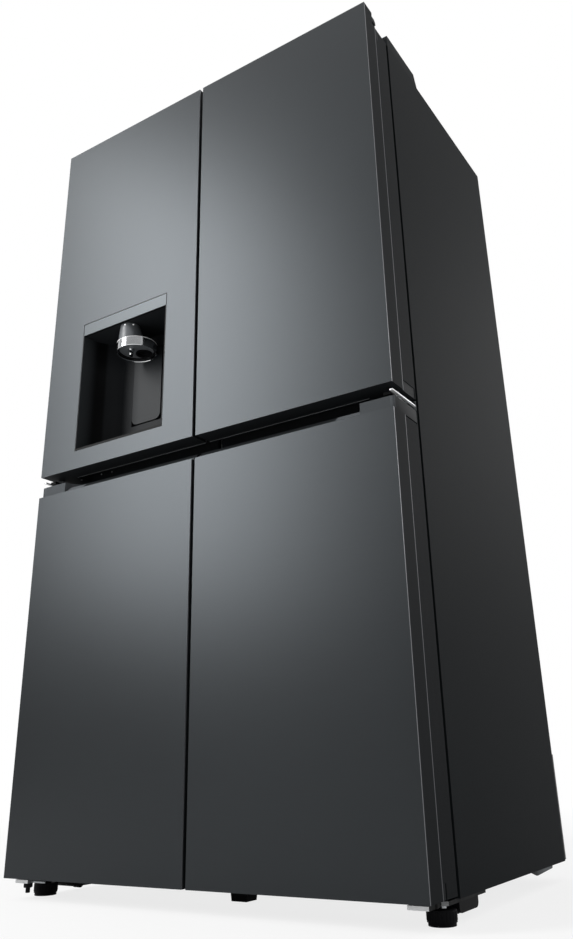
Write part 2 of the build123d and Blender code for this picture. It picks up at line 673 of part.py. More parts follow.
# ------------------------------------------------------------ machinery
def compressor():
    """Hermetic compressor with its foot plate and suction stub."""
    z0 = CABINET_BOTTOM + PAN
    low = z0 + COMPRESSOR_LIFT
    can = rod((COMPRESSOR_X, BAY_MIDDLE_D, low), (0, 0, 1), COMPRESSOR_HEIGHT, COMPRESSOR_R)
    can = fillet(can.edges().filter_by(GeomType.CIRCLE), COMPRESSOR_DOME)
    body = can + block(COMPRESSOR_X - COMPRESSOR_PLATE_X, COMPRESSOR_X + COMPRESSOR_PLATE_X,
                       BAY_MIDDLE_D - COMPRESSOR_PLATE_D, BAY_MIDDLE_D + COMPRESSOR_PLATE_D,
                       low, low + COMPRESSOR_PLATE)
    for dx in (-GROMMET_X, GROMMET_X):
        for dd in (-GROMMET_D, GROMMET_D):
            body = body + rod((COMPRESSOR_X + dx, BAY_MIDDLE_D + dd, z0), (0, 0, 1),
                              GROMMET_HEIGHT, GROMMET_R)
    stub = rod((COMPRESSOR_X - COMPRESSOR_R + STUB_SINK, BAY_MIDDLE_D, z0 + STUB_LIFT),
               (-1, 0, 0), STUB_LENGTH, STUB_R)
    return body + stub


def fan(centre, direction, radius):
    """Hub with a bore and five pitched blades, turning about a direction."""
    x, d, z = centre
    plane = Plane(origin=(x, FRONT + d, z), z_dir=direction)
    base = (Align.CENTER, Align.CENTER, Align.MIN)
    hub = Cylinder(FAN_HUB_R, BLADE_WIDTH, align=base)
    reach = radius - FAN_HUB_R + BLADE_ROOT
    for turn in range(FAN_BLADES):
        blade = Box(reach, BLADE_WIDTH * 1.3, BLADE_SHEET)
        root = Pos(FAN_HUB_R - BLADE_ROOT + reach / 2, 0, BLADE_WIDTH / 2)
        hub = hub + Rot(0, 0, turn * 360 / FAN_BLADES) * root * Rot(FAN_PITCH_DEG, 0, 0) * blade
    keep = Cylinder(radius, BLADE_WIDTH, align=base)
    bore = Cylinder(FAN_BORE_R + RUN, BLADE_WIDTH * 3)
    return plane.location * ((hub & keep) - bore)


def fin_places(x0, x1, margin, fin):
    """Where the fins of a coil between two ends start, one pitch apart."""
    count = int((x1 - x0 - margin - fin) // FIN_PITCH) + 1
    return [x0 + margin + step * FIN_PITCH for step in range(count)]


def condenser():
    """Finned coil on its base, with the fan shroud, motor and shaft."""
    z0 = CABINET_BOTTOM + PAN
    d0, d1 = BAY_MIDDLE_D - CONDENSER_HALF_D, BAY_MIDDLE_D + CONDENSER_HALF_D
    x0, x1 = CONDENSER_X - CONDENSER_HALF_X, CONDENSER_X + CONDENSER_HALF_X
    coil = block(x0, x1, d0 + CONDENSER_FIN_MARGIN, d1 - CONDENSER_FIN_MARGIN,
                 z0, z0 + CONDENSER_HEIGHT)
    for x in fin_places(x0, x1, CONDENSER_FIN_MARGIN, CONDENSER_FIN):
        coil = coil + block(x, x + CONDENSER_FIN, d0, d1, z0,
                            z0 + CONDENSER_HEIGHT + CONDENSER_FIN_RISE)
    w0, w1 = x1 + SHROUD_AWAY, x1 + SHROUD_AWAY + SHROUD_WALL
    wall = block(w0, w1, d0, d1, z0, z0 + SHROUD_HEIGHT)
    fan_hole = rod((w0 - REACH_OUT, BAY_MIDDLE_D, CONDENSER_FAN_Z), (1, 0, 0),
                   SHROUD_WALL + REACH_OUT * 2, FAN_R + TIP_GAP)
    bridge = block(w0, w1, d0, d1, CONDENSER_FAN_Z - SHROUD_BRIDGE / 2,
                   CONDENSER_FAN_Z + SHROUD_BRIDGE / 2)
    floor = block(x1, w1, d0, d1, z0, z0 + SHROUD_FLOOR)
    motor = rod((w0 - MOTOR_R + REACH_OUT * 2, BAY_MIDDLE_D, CONDENSER_FAN_Z), (1, 0, 0),
                MOTOR_R, MOTOR_R)
    shaft = rod((w0, BAY_MIDDLE_D, CONDENSER_FAN_Z), (1, 0, 0),
                CONDENSER_FAN_X + BLADE_WIDTH + MOTOR_GAP - w0, FAN_BORE_R)
    return coil + floor + (wall - fan_hole) + bridge + motor + shaft


def evaporator():
    """Finned evaporator in the left freezer, behind its air duct."""
    z0 = FREEZER_DUCT_BOTTOM + EVAPORATOR_LOW
    z1 = FREEZER_FAN_Z - FAN_R - EVAPORATOR_HIGH
    d0, d1 = DUCT_D + DUCT_SHEET + RIB, FREEZER_BACK
    x0, x1 = EVAPORATOR_SIDE - CAVITY_X, -CENTRE_WALL - EVAPORATOR_SIDE
    core = block(x0, x1, d0 + EVAPORATOR_INSET, d1, z0, z1)
    for x in fin_places(x0, x1 - FIN_MARGIN, FIN_MARGIN, EVAPORATOR_FIN):
        core = core + block(x, x + EVAPORATOR_FIN, d0, d1, z0 - EVAPORATOR_INSET,
                            z1 + EVAPORATOR_INSET)
    return core


def freezer_duct():
    """Right-hand freezer air duct: a slotted plate with side returns."""
    x0, x1 = CENTRE_WALL + FIT, CAVITY_X - FIT
    z0, z1 = FREEZER_DUCT_BOTTOM, FREEZER_CEILING - FIT
    plate = block(x0, x1, DUCT_D, DUCT_D + DUCT_SHEET, z0, z1)
    for a, b in ((x0, x0 + DUCT_SHEET), (x1 - DUCT_SHEET, x1)):
        plate = plate + block(a, b, DUCT_D, FREEZER_BACK, z0, z1)
    slots = [block(x0 + DUCT_SLOT_MARGIN, x1 - DUCT_SLOT_MARGIN, DUCT_D - REACH_OUT,
                   DUCT_D + DUCT_SHEET + REACH_OUT, z, z + DUCT_SLOT)
             for z in (UPPER_DRAWER_FLOOR - DUCT_SLOT * 3, z1 - DRAWER_SPACE)]
    return plate - slots


def fridge_duct():
    """Column of vents on the fridge's back wall."""
    z0, z1 = SHELF_LEVELS[0] + VENT_LIFT, FRIDGE_CEILING - FIT
    column = block(-VENT_HALF, VENT_HALF, FRIDGE_BACK - VENT_THICK, FRIDGE_BACK, z0, z1)
    slots = []
    for level in SHELF_LEVELS:
        z = level + VENT_SLOT_LIFT
        for side in (-VENT_SLOT_X, VENT_SLOT_X):
            slots.append(block(side - VENT_SLOT_HALF, side + VENT_SLOT_HALF,
                               FRIDGE_BACK - VENT_THICK - REACH_OUT,
                               FRIDGE_BACK - VENT_THICK / 2, z, z + VENT_SLOT_HEIGHT))
    return column - slots


def air_ducts():
    """The three ducts and the freezer fan's motor on the left back wall."""
    right = freezer_duct()
    hole = rod((FREEZER_FAN_X, DUCT_D - REACH_OUT, FREEZER_FAN_Z), (0, 1, 0),
               DUCT_SHEET + REACH_OUT * 2, FAN_R - TIP_GAP * 2)
    bar = block(FREEZER_FAN_X - FAN_R, FREEZER_FAN_X + FAN_R, DUCT_D, DUCT_D + DUCT_SHEET,
                FREEZER_FAN_Z - TIP_GAP, FREEZER_FAN_Z + TIP_GAP)
    left = flip(right) - hole + bar
    motor_d = FREEZER_FAN_D + BLADE_WIDTH + MOTOR_GAP
    motor = rod((FREEZER_FAN_X, motor_d, FREEZER_FAN_Z), (0, 1, 0), FREEZER_BACK - motor_d,
                MOTOR_R)
    shaft = rod((FREEZER_FAN_X, FREEZER_FAN_D - MOTOR_GAP, FREEZER_FAN_Z), (0, 1, 0),
                motor_d - FREEZER_FAN_D + PIN_ROOM, FAN_BORE_R)
    return [left, right, fridge_duct(), motor + shaft]


# ------------------------------------------------------------ shelves, drawers
def shelf_frame(level):
    x = CAVITY_X - FIT
    frame = block(-x, x, SHELF_FRONT, SHELF_BACK, level, level + SHELF_FRAME)
    window = block(-x + SHELF_FRAME_WIDTH, x - SHELF_FRAME_WIDTH,
                   SHELF_FRONT + SHELF_FRAME_WIDTH, SHELF_BACK - SHELF_FRAME_WIDTH,
                   level - 1, level + SHELF_FRAME + 1)
    return frame - window - shelf_glass(level, 0)


def shelf_glass(level, gap=GLASS_GAP):
    """Glass pane let into the top of its frame."""
    lip = SHELF_FRAME_WIDTH - SHELF_LIP + gap
    x = CAVITY_X - FIT - lip
    z1 = level + SHELF_FRAME
    return block(-x, x, SHELF_FRONT + lip, SHELF_BACK - lip, z1 - GLASS, z1)


def crisper_drawer():
    """Right crisper: open-topped tub with a taller front and a pull lip."""
    z0 = FRIDGE_FLOOR + RIB / 2 + SEAT
    z1 = z0 + CRISPER_HEIGHT
    drawer = tub(CRISPER_INNER_X, CRISPER_X, CRISPER_FRONT, SHELF_BACK, z0, z1,
                 DRAWER_WALL)
    lip = block(CRISPER_INNER_X, CRISPER_X, CRISPER_FRONT - RIB, CRISPER_FRONT,
                z1 - CRISPER_LIP, z1)
    return drawer + lip


def freezer_drawer(floor, back):
    """Right freezer drawer: front panel with a finger slot, walls and floor."""
    z0 = floor + SEAT
    z1 = z0 + DRAWER_HEIGHT
    drawer = tub(DRAWER_INNER_X, DRAWER_OUTER_X, DRAWER_FRONT, back, z0,
                 z0 + DRAWER_HEIGHT * DRAWER_TUB_SHARE, DRAWER_WALL)
    panel = block(DRAWER_INNER_X, DRAWER_OUTER_X, DRAWER_FRONT,
                  DRAWER_FRONT + DRAWER_FRONT_WALL, z0, z1)
    middle = (DRAWER_INNER_X + DRAWER_OUTER_X) / 2
    slot = block(middle - SLOT_HALF, middle + SLOT_HALF, DRAWER_FRONT - REACH_OUT,
                 DRAWER_FRONT + DRAWER_FRONT_WALL + REACH_OUT, z1 - SLOT_LOW, z1 - SLOT_HIGH)
    return drawer + panel - slot


# ------------------------------------------------------------ hinges and feet
def arm_outline(front_d, back_d):
    """Plan outline of a right hinge arm, narrow beside its pin."""
    inner = HINGE_X - ARM_INNER
    outer = HINGE_X + ARM_OUTER
    neck_d = HINGE_D + ARM_NECK
    side = HINGE_X + KNUCKLE_R * 0.6
    return [(HINGE_X - KNUCKLE_R, front_d), (HINGE_X - KNUCKLE_R, HINGE_D),
            (inner, neck_d), (inner, back_d), (outer, back_d), (outer, neck_d + 3),
            (HINGE_X + ARM_WAIST, neck_d - 4), (side, HINGE_D + ARM_NECK * 0.3),
            (side, front_d)]


def top_hinge():
    z0 = DOOR_LEDGE + TOP_ARM_GAP
    arm = prism(arm_outline(HINGE_D - REACH_OUT, TOP_ARM_BACK), z0, z0 + HINGE_PLATE)
    eye = rod((HINGE_X, HINGE_D, z0), (0, 0, 1), HINGE_PLATE, KNUCKLE_R)
    pin = rod((HINGE_X, HINGE_D, DOOR_LEDGE - PIN_REACH), (0, 0, 1),
              PIN_REACH + TOP_ARM_GAP + HINGE_PLATE, HINGE_PIN_R)
    pad = block(HINGE_X - ARM_INNER, HINGE_X + ARM_OUTER, CABINET_FRONT + HINGE_PAD_INSET,
                TOP_ARM_BACK, CABINET_TOP, z0)
    first = CABINET_FRONT + HINGE_SCREW_FIRST
    screws = [rod((HINGE_X - ARM_OUTER, d, z0 + HINGE_PLATE), (0, 0, 1), HINGE_SCREW_HEAD,
                  HINGE_SCREW_R) for d in (first, first + HINGE_SCREW_PITCH)]
    hinge = arm + eye + pin + pad
    for screw in screws:
        hinge = hinge + screw
    return hinge


def middle_hinge():
    z0 = (LOWER_DOOR_TOP + UPPER_DOOR_BOTTOM) / 2 - HINGE_PLATE / 2
    arm = prism(arm_outline(HINGE_D - ARM_NOSE, CABINET_FRONT), z0, z0 + HINGE_PLATE)
    low, high = LOWER_DOOR_TOP + TOP_ARM_GAP, UPPER_DOOR_BOTTOM - TOP_ARM_GAP
    knuckle = rod((HINGE_X, HINGE_D, low), (0, 0, 1), high - low, KNUCKLE_R - KNUCKLE_INSET)
    pin = rod((HINGE_X, HINGE_D, LOWER_DOOR_TOP - PIN_REACH), (0, 0, 1),
              UPPER_DOOR_BOTTOM - LOWER_DOOR_TOP + PIN_REACH * 2 - PIN_ROOM, HINGE_PIN_R)
    foot = block(HINGE_X - ARM_INNER - HINGE_FOOT_SIDE, HINGE_X + ARM_OUTER + COVER_WALL,
                 CABINET_FRONT - HINGE_FOOT_SHEET, CABINET_FRONT, low, high)
    return arm + knuckle + pin + foot


def bottom_hinge():
    """Wide plate under the cabinet's front corner, with the lower pin."""
    z0 = CABINET_BOTTOM - HINGE_PLATE
    arm = prism(arm_outline(HINGE_D - ARM_NOSE, BOTTOM_ARM_BACK), z0, CABINET_BOTTOM)
    arm = arm + block(HINGE_X - BOTTOM_ARM_INNER, HINGE_X, HINGE_D - ARM_NOSE, BOTTOM_ARM_BACK,
                      z0, CABINET_BOTTOM)
    knuckle = rod((HINGE_X, HINGE_D, z0), (0, 0, 1), LOWER_DOOR_BOTTOM - TOP_ARM_GAP - z0,
                  KNUCKLE_R - KNUCKLE_INSET)
    pin = rod((HINGE_X, HINGE_D, z0), (0, 0, 1),
              LOWER_DOOR_BOTTOM + PIN_REACH - PIN_ROOM - z0, HINGE_PIN_R)
    stud_hole = rod((FOOT_X, FOOT_D, z0 - REACH_OUT), (0, 0, 1), HINGE_PLATE + REACH_OUT * 2,
                    FOOT_STUD_R + RUN)
    return arm + knuckle + pin - stud_hole


def hinge_cover():
    """Moulded cover over a top hinge, open towards its arm."""
    x0, x1 = COVER_X, SIDE_X
    d0 = CABINET_FRONT - COVER_OVERHANG
    slope_d = COVER_BACK - COVER_SLOPE
    shell = side_prism([(d0, CABINET_TOP), (d0 + COVER_OVERHANG, COVER_TOP),
                        (slope_d, COVER_TOP), (COVER_BACK, CABINET_TOP)], x0, x1)
    hollow = block(x0 + COVER_WALL, x1 - COVER_WALL, d0 + COVER_WALL + COVER_OVERHANG,
                   slope_d - COVER_WALL, CABINET_TOP - REACH_OUT, COVER_TOP - COVER_WALL)
    mouth = block(HINGE_X - ARM_INNER - COVER_WALL, HINGE_X + ARM_OUTER + COVER_WALL,
                  d0 - REACH_OUT, d0 + ARM_OUTER, CABINET_TOP - REACH_OUT,
                  DOOR_LEDGE + TOP_ARM_GAP + HINGE_PLATE + TOP_ARM_GAP)
    return shell - hollow - mouth


def levelling_foot():
    """Right screw foot: two-tier pad, hexagon and threaded stud."""
    base = rod((FOOT_X, FOOT_D, 0), (0, 0, 1), FOOT_BASE_HEIGHT, FOOT_BASE_R)
    pad = rod((FOOT_X, FOOT_D, FOOT_BASE_HEIGHT), (0, 0, 1), FOOT_HEIGHT - FOOT_BASE_HEIGHT,
              FOOT_R)
    top = CABINET_BOTTOM - HINGE_PLATE
    nut = Pos(FOOT_X, FRONT + FOOT_D, FOOT_HEIGHT) * extrude(
        RegularPolygon(FOOT_NUT_R, 6), top - FOOT_HEIGHT - SEAT)
    stud = rod((FOOT_X, FOOT_D, FOOT_HEIGHT), (0, 0, 1),
               CABINET_BOTTOM - FOOT_HEIGHT, FOOT_STUD_R)
    return base + pad + nut + stud


def centre_foot():
    z0, z1 = CENTRE_FOOT_LIFT, CABINET_BOTTOM
    low, high = CENTRE_FOOT_HALF_LOW, CENTRE_FOOT_HALF_HIGH
    front = FRONT + CENTRE_FOOT_D - CENTRE_FOOT_LENGTH / 2
    outline = [(-low, z0), (low, z0), (high, z1), (-high, z1)]
    face = make_face(Polyline([(x, front, z) for x, z in outline], close=True))
    return extrude(face, CENTRE_FOOT_LENGTH, dir=(0, 1, 0))


def roller(x, d, z, radius):
    wheel = rod((x - ROLLER_WIDTH / 2, d, z), (1, 0, 0), ROLLER_WIDTH, radius)
    bore = rod((x - ROLLER_WIDTH, d, z), (1, 0, 0), ROLLER_WIDTH * 2, AXLE_R + RUN)
    return wheel - bore


def front_carrier():
    """Rounded housing of a front roller, open below, with its axle."""
    x0, x1 = FRONT_ROLLER_X - HOUSING_HALF_X, FRONT_ROLLER_X + HOUSING_HALF_X
    z = FRONT_ROLLER_LIFT + FRONT_ROLLER_R
    top = CABINET_BOTTOM - HINGE_PLATE
    body = block(x0, x1, FRONT_ROLLER_D - HOUSING_HALF_D, FRONT_ROLLER_D + HOUSING_HALF_D,
                 HOUSING_BOTTOM, top)
    ends = body.edges().filter_by(Axis.X).group_by(Axis.Z)[0]
    body = fillet(ends, HOUSING_CORNER)
    half = ROLLER_WIDTH / 2 + ROLLER_SIDE_GAP
    reach = FRONT_ROLLER_R + WELL_GAP
    well = block(FRONT_ROLLER_X - half, FRONT_ROLLER_X + half, FRONT_ROLLER_D - reach,
                 FRONT_ROLLER_D + reach, HOUSING_BOTTOM - REACH_OUT, z + FRONT_ROLLER_R + 0.8)
    axle = rod((x0 + AXLE_INSET, FRONT_ROLLER_D, z), (1, 0, 0),
               (HOUSING_HALF_X - AXLE_INSET) * 2, AXLE_R)
    return body - well + axle


def rear_carrier():
    """Rear roller bracket: plate, two ears, axle and a rounded end flange."""
    z = REAR_ROLLER_R
    top = CABINET_BOTTOM
    half = ROLLER_WIDTH / 2 + ROLLER_SIDE_GAP
    ear = CARRIER_EAR
    d0, d1 = REAR_ROLLER_D - HOUSING_HALF_D, REAR_ROLLER_D + HOUSING_HALF_D
    plate = block(REAR_ROLLER_X - half - ear, REAR_FLANGE_X, d0, d1, top - CARRIER_SHEET, top)
    low = top - REAR_FLANGE_DROP
    flange = side_prism([(REAR_FLANGE_FRONT, top), (REAR_FLANGE_FRONT + REAR_FLANGE_NOSE, low),
                         (REAR_FLANGE_BACK, low + REAR_FLANGE_TAPER), (REAR_FLANGE_BACK, top)],
                        REAR_FLANGE_X - ear, REAR_FLANGE_X)
    heel = flange.edges().filter_by(Axis.X).sort_by(Axis.Y)[-2:].sort_by(Axis.Z)[:1]
    flange = fillet(heel, REAR_FLANGE_CORNER)
    bracket = plate + flange
    for x0 in (REAR_ROLLER_X - half - ear, REAR_ROLLER_X + half):
        bracket = bracket + block(x0, x0 + ear, REAR_ROLLER_D - EAR_HALF,
                                  REAR_ROLLER_D + EAR_HALF, z - EAR_DROP, top)
    axle = rod((REAR_ROLLER_X - half - ear, REAR_ROLLER_D, z), (1, 0, 0),
               (half + ear) * 2, AXLE_R)
    return bracket + axle


# ------------------------------------------------------------ rear fittings
def rear_inlets():
    """Water valve with its tube socket, and the power lead's gland."""
    d0 = CABINET_BACK + BACK_SHEET
    valve = block(INLET_X - INLET_HALF, INLET_X + INLET_HALF, d0, DEPTH,
                  INLET_Z - INLET_HALF, INLET_Z + INLET_HALF)
    socket = rod((INLET_X, DEPTH - INLET_BORE_LENGTH, INLET_Z), (0, 1, 0),
                 INLET_BORE_LENGTH + REACH_OUT, INLET_BORE_R)
    gland = block(GLAND_X - GLAND_HALF, GLAND_X + GLAND_HALF, COVER_PLATE_D, DEPTH,
                  GLAND_Z - GLAND_HALF, GLAND_Z + GLAND_HALF)
    return [valve - socket, gland]


# ------------------------------------------------------------ doors
def door_skin(z0, z1):
    """Right door skin: a front sheet with both sides turned back."""
    outer = block(DOOR_X0, DOOR_X1, 0, WRAP_DEPTH, z0, z1)
    return outer - block(DOOR_X0 + SKIN, DOOR_X1 - SKIN, SKIN, WRAP_DEPTH + 1, z0 - 1, z1 + 1)


def ridge_notch():
    """What is cut from an upper door behind its front ridge."""
    return block(0, WIDTH, RIDGE_DEPTH, DOOR_DEPTH * 2, DOOR_LEDGE, HEIGHT + 1)


def tray(z0, z1):
    """Door liner without its dyke: side walls and a back."""
    x0, x1 = DOOR_X0 + LINER_INSET, DOOR_X1 - LINER_INSET
    outer = block(x0, x1, WRAP_DEPTH, DOOR_DEPTH, z0, z1)
    inner = block(x0 + DOOR_LINER, x1 - DOOR_LINER, WRAP_DEPTH - 1, DOOR_DEPTH - DOOR_LINER,
                  z0 + DOOR_LINER, z1 - DOOR_LINER)
    return outer - inner


def gasket(z0, z1):
    return ring(GASKET_INNER_X, GASKET_OUTER_X, DOOR_DEPTH, CABINET_FRONT - SEAT,
                z0 + GASKET_MARGIN, z1 - GASKET_MARGIN, GASKET_WIDTH)


def hinge_bore(z0, z1):
    return rod((HINGE_X, HINGE_D, z0), (0, 0, 1), z1 - z0, HINGE_PIN_R + RUN)


def pin_well(z0, z1):
    """Room in the foam and the liner round a hinge pin's boss."""
    half = BOSS_HALF + REACH_OUT
    return block(HINGE_X - half, DOOR_X1 - SKIN, HINGE_D - half, HINGE_D + half, z0, z1)


def upper_cap_top():
    """Top cap of the right upper door, with the hood over its hinge pin."""
    x0, x1 = DOOR_X0 + SKIN, DOOR_X1 - SKIN
    low = DOOR_LEDGE - CAP_OVERLAP
    ridge = block(x0, x1, SKIN, RIDGE_DEPTH, low, HEIGHT)
    ledge = block(x0, x1, SKIN, WRAP_DEPTH, low, DOOR_LEDGE)
    boss = block(HINGE_X - BOSS_HALF, x1, HINGE_D - BOSS_HALF, HINGE_D + BOSS_HALF,
                 low - PIN_REACH, DOOR_LEDGE)
    hood_z = DOOR_LEDGE + TOP_ARM_GAP * 2 + HINGE_PLATE
    hood = block(DOOR_X1 - HINGE_HOOD_WIDTH, DOOR_X1, RIDGE_DEPTH, HINGE_HOOD_DEPTH,
                 hood_z, HINGE_HOOD_TOP)
    rear_edge = hood.edges().filter_by(Axis.X).sort_by(Axis.Z)[-2:].sort_by(Axis.Y)[-1:]
    hood = chamfer(rear_edge, HINGE_HOOD_BEVEL)
    bore = hinge_bore(DOOR_LEDGE - PIN_REACH - REACH_OUT, DOOR_LEDGE + REACH_OUT)
    return ridge + ledge + boss + hood - bore


def upper_cap_bottom():
    """Bottom cap of the right upper door, with the finger groove under it."""
    x0, x1 = DOOR_X0 + SKIN, DOOR_X1 - SKIN
    z0 = UPPER_DOOR_BOTTOM
    cap = block(x0, x1, SKIN, WRAP_DEPTH, z0, z0 + END_CAP)
    cap = cap + block(x0, x1 - LINER_INSET, WRAP_DEPTH, DOOR_DEPTH - DOOR_LINER, z0,
                      z0 + END_CAP)
    groove = block(0, GRIP_REACH, UPPER_GRIP_FRONT, UPPER_GRIP_BACK, z0 - 1,
                   z0 + UPPER_GRIP_RISE)
    return cap - groove - hinge_bore(z0 - 1, z0 + PIN_REACH)


def lower_cap_bottom():
    x0, x1 = DOOR_X0 + SKIN, DOOR_X1 - SKIN
    z0 = LOWER_DOOR_BOTTOM
    cap = block(x0, x1, SKIN, WRAP_DEPTH, z0, z0 + END_CAP)
    cap = cap + block(HINGE_X - BOSS_HALF, x1 - LINER_INSET, WRAP_DEPTH, HINGE_D + BOSS_HALF,
                      z0, z0 + END_CAP)
    return cap - hinge_bore(z0 - 1, z0 + PIN_REACH)


def grip_outline(x_end):
    """Plan of the finger recess, running out to a soft end."""
    return [(0, -REACH_OUT), (x_end, -REACH_OUT),
            (x_end - GRIP_END_FIRST, GRIP_DEPTH * 0.45),
            (x_end - GRIP_END_SECOND, GRIP_DEPTH * 0.8),
            (x_end - GRIP_END_CURVE, GRIP_DEPTH), (0, GRIP_DEPTH)]


def lower_cap_top():
    """Grip cap on the right lower door: a finger recess behind a leaning lip."""
    x0, x1 = DOOR_X0 + SKIN, DOOR_X1 - GRIP_END_INSET
    z0 = LOWER_SKIN_TOP - END_CAP
    seam = LOWER_SKIN_TOP - NECK_DROP
    neck = block(DOOR_X0 + SKIN, DOOR_X1 - SKIN, SKIN, WRAP_DEPTH, z0, seam)
    head = block(x0, x1, GRIP_SETBACK, DOOR_DEPTH - DOOR_LINER, seam, LOWER_DOOR_TOP)
    recess = prism(grip_outline(GRIP_REACH), LOWER_SKIN_TOP + GRIP_FLOOR,
                   LOWER_DOOR_TOP + REACH_OUT)
    lip_top = LOWER_SKIN_TOP + LIP_HEIGHT
    lip = side_prism([(GRIP_SETBACK, seam), (GRIP_SETBACK, LOWER_SKIN_TOP + NECK_DROP),
                      (LIP_FRONT, lip_top), (LIP_FRONT + LIP_THICK, lip_top),
                      (LIP_FRONT + LIP_THICK, seam)], x0, GRIP_REACH)
    bore = hinge_bore(LOWER_DOOR_TOP - PIN_REACH - NECK_DROP, LOWER_DOOR_TOP + REACH_OUT)
    return neck + head - recess + lip - bore


def lower_door():
    """Skin, core, liner, gasket and caps of the right lower door."""
    z0, z1 = LOWER_DOOR_BOTTOM, LOWER_SKIN_TOP
    head = block(0, WIDTH, 0, DOOR_DEPTH - DOOR_LINER, z1 - NECK_DROP,
                 LOWER_DOOR_TOP + REACH_OUT)
    dyke_z0 = FREEZER_FLOOR + DYKE_MARGIN
    dyke_z1 = FREEZER_CEILING - DYKE_MARGIN
    liner = tray(z0, LOWER_DOOR_TOP) - head
    liner = liner + block(DYKE_INNER_X, LOWER_DYKE_OUTER_X, DOOR_DEPTH - DOOR_LINER,
                          LOWER_DYKE_DEPTH, dyke_z0, dyke_z1)
    panel = block(DYKE_INNER_X + DYKE_WIDTH, LOWER_DYKE_OUTER_X - DYKE_WIDTH,
                  LOWER_DYKE_DEPTH - DYKE_PANEL_SINK, LOWER_DYKE_DEPTH + REACH_OUT,
                  dyke_z0 + DYKE_WIDTH, dyke_z1 - DYKE_WIDTH)
    core = block(DOOR_X0 + SKIN, DOOR_X1 - SKIN, SKIN, WRAP_DEPTH, z0 + END_CAP, z1 - END_CAP)
    x0, x1 = DOOR_X0 + LINER_INSET + DOOR_LINER, DOOR_X1 - LINER_INSET - DOOR_LINER
    core = core + block(x0, x1, WRAP_DEPTH, DOOR_DEPTH - DOOR_LINER, z0 + END_CAP, z1 - END_CAP)
    return {
        "skin": door_skin(z0, z1),
        "core": core,
        "liner": liner - panel - pin_well(z0 - 1, z0 + END_CAP),
        "gasket": gasket(z0, LOWER_DOOR_TOP),
        "caps": [lower_cap_bottom(), lower_cap_top()],
    }


def upper_door(dyke_inner):
    """Skin, core, liner, gasket and caps of the right upper door."""
    z0, z1 = UPPER_DOOR_BOTTOM, DOOR_LEDGE
    dyke_z0 = FRIDGE_FLOOR + DYKE_MARGIN
    dyke_z1 = FRIDGE_CEILING - DYKE_MARGIN
    dyke = ring(dyke_inner, UPPER_DYKE_OUTER_X, DOOR_DEPTH - DOOR_LINER, UPPER_DYKE_DEPTH,
                dyke_z0, dyke_z1, DYKE_WIDTH)
    cap_room = block(0, WIDTH, 0, DOOR_DEPTH - DOOR_LINER, z0 - 1, z0 + END_CAP)
    liner = tray(z0, z1) - cap_room - pin_well(z1 - PIN_REACH - CAP_OVERLAP, z1 + REACH_OUT)
    core = block(DOOR_X0 + SKIN, DOOR_X1 - SKIN, SKIN, WRAP_DEPTH, z0 + END_CAP,
                 z1 - CAP_OVERLAP)
    x0, x1 = DOOR_X0 + LINER_INSET + DOOR_LINER, DOOR_X1 - LINER_INSET - DOOR_LINER
    core = core + block(x0, x1, WRAP_DEPTH, DOOR_DEPTH - DOOR_LINER, z0 + END_CAP, z1 - DOOR_LINER)
    core = core - pin_well(z1 - PIN_REACH - CAP_OVERLAP, z1 + REACH_OUT)
    core = core - pin_well(z0, z0 + PIN_REACH + NECK_DROP)
    return {
        "skin": door_skin(z0, HEIGHT) - ridge_notch(),
        "core": core,
        "liner": liner + dyke,
        "gasket": gasket(z0, z1),
        "caps": [upper_cap_bottom(), upper_cap_top()],
    }


def door_bin(floor, x0, x1, d0):
    """Door bin with a low back edge and a taller front wall."""
    body = tub(x0, x1, d0, BIN_BACK, floor, floor + BIN_HEIGHT, BIN_WALL)
    front = block(x0, x1, BIN_BACK - BIN_BEAD, BIN_BACK, floor + BIN_HEIGHT - BIN_BEAD_HEIGHT,
                  floor + BIN_HEIGHT)
    return body + front


# ------------------------------------------------------------ dispenser
def recess_outline(grow, front_d, depth):
    """Plan of the dispenser recess: sides that curve in to a narrower back."""
    half = DISP_HALF - DISP_WALL + grow
    back = DISP_BACK_HALF + grow
    y0, y1 = FRONT + front_d, FRONT + depth + grow
    corner = y1 - DISP_FLARE - REACH_OUT
    side = half - DISP_FLARE - REACH_OUT
    pieces = []
    for s in (-1, 1):
        start = (DISP_X + s * half, y0, 0)
        middle = (DISP_X + s * side, FRONT + DISP_DEPTH * 0.52, 0)
        end = (DISP_X + s * (back + DISP_FLARE), corner, 0)
        pieces.append(ThreePointArc(start, middle, end))
        pieces.append(Line(end, (DISP_X + s * back, y1, 0)))
    pieces.append(Line((DISP_X - back, y1, 0), (DISP_X + back, y1, 0)))
    pieces.append(Line((DISP_X - half, y0, 0), (DISP_X + half, y0, 0)))
    return make_face(Wire(Wire.combine(pieces)[0].edges()))


def recess_prism(grow, front_d, depth, z0, z1):
    return Pos(0, 0, z0) * extrude(recess_outline(grow, front_d, depth), z1 - z0)


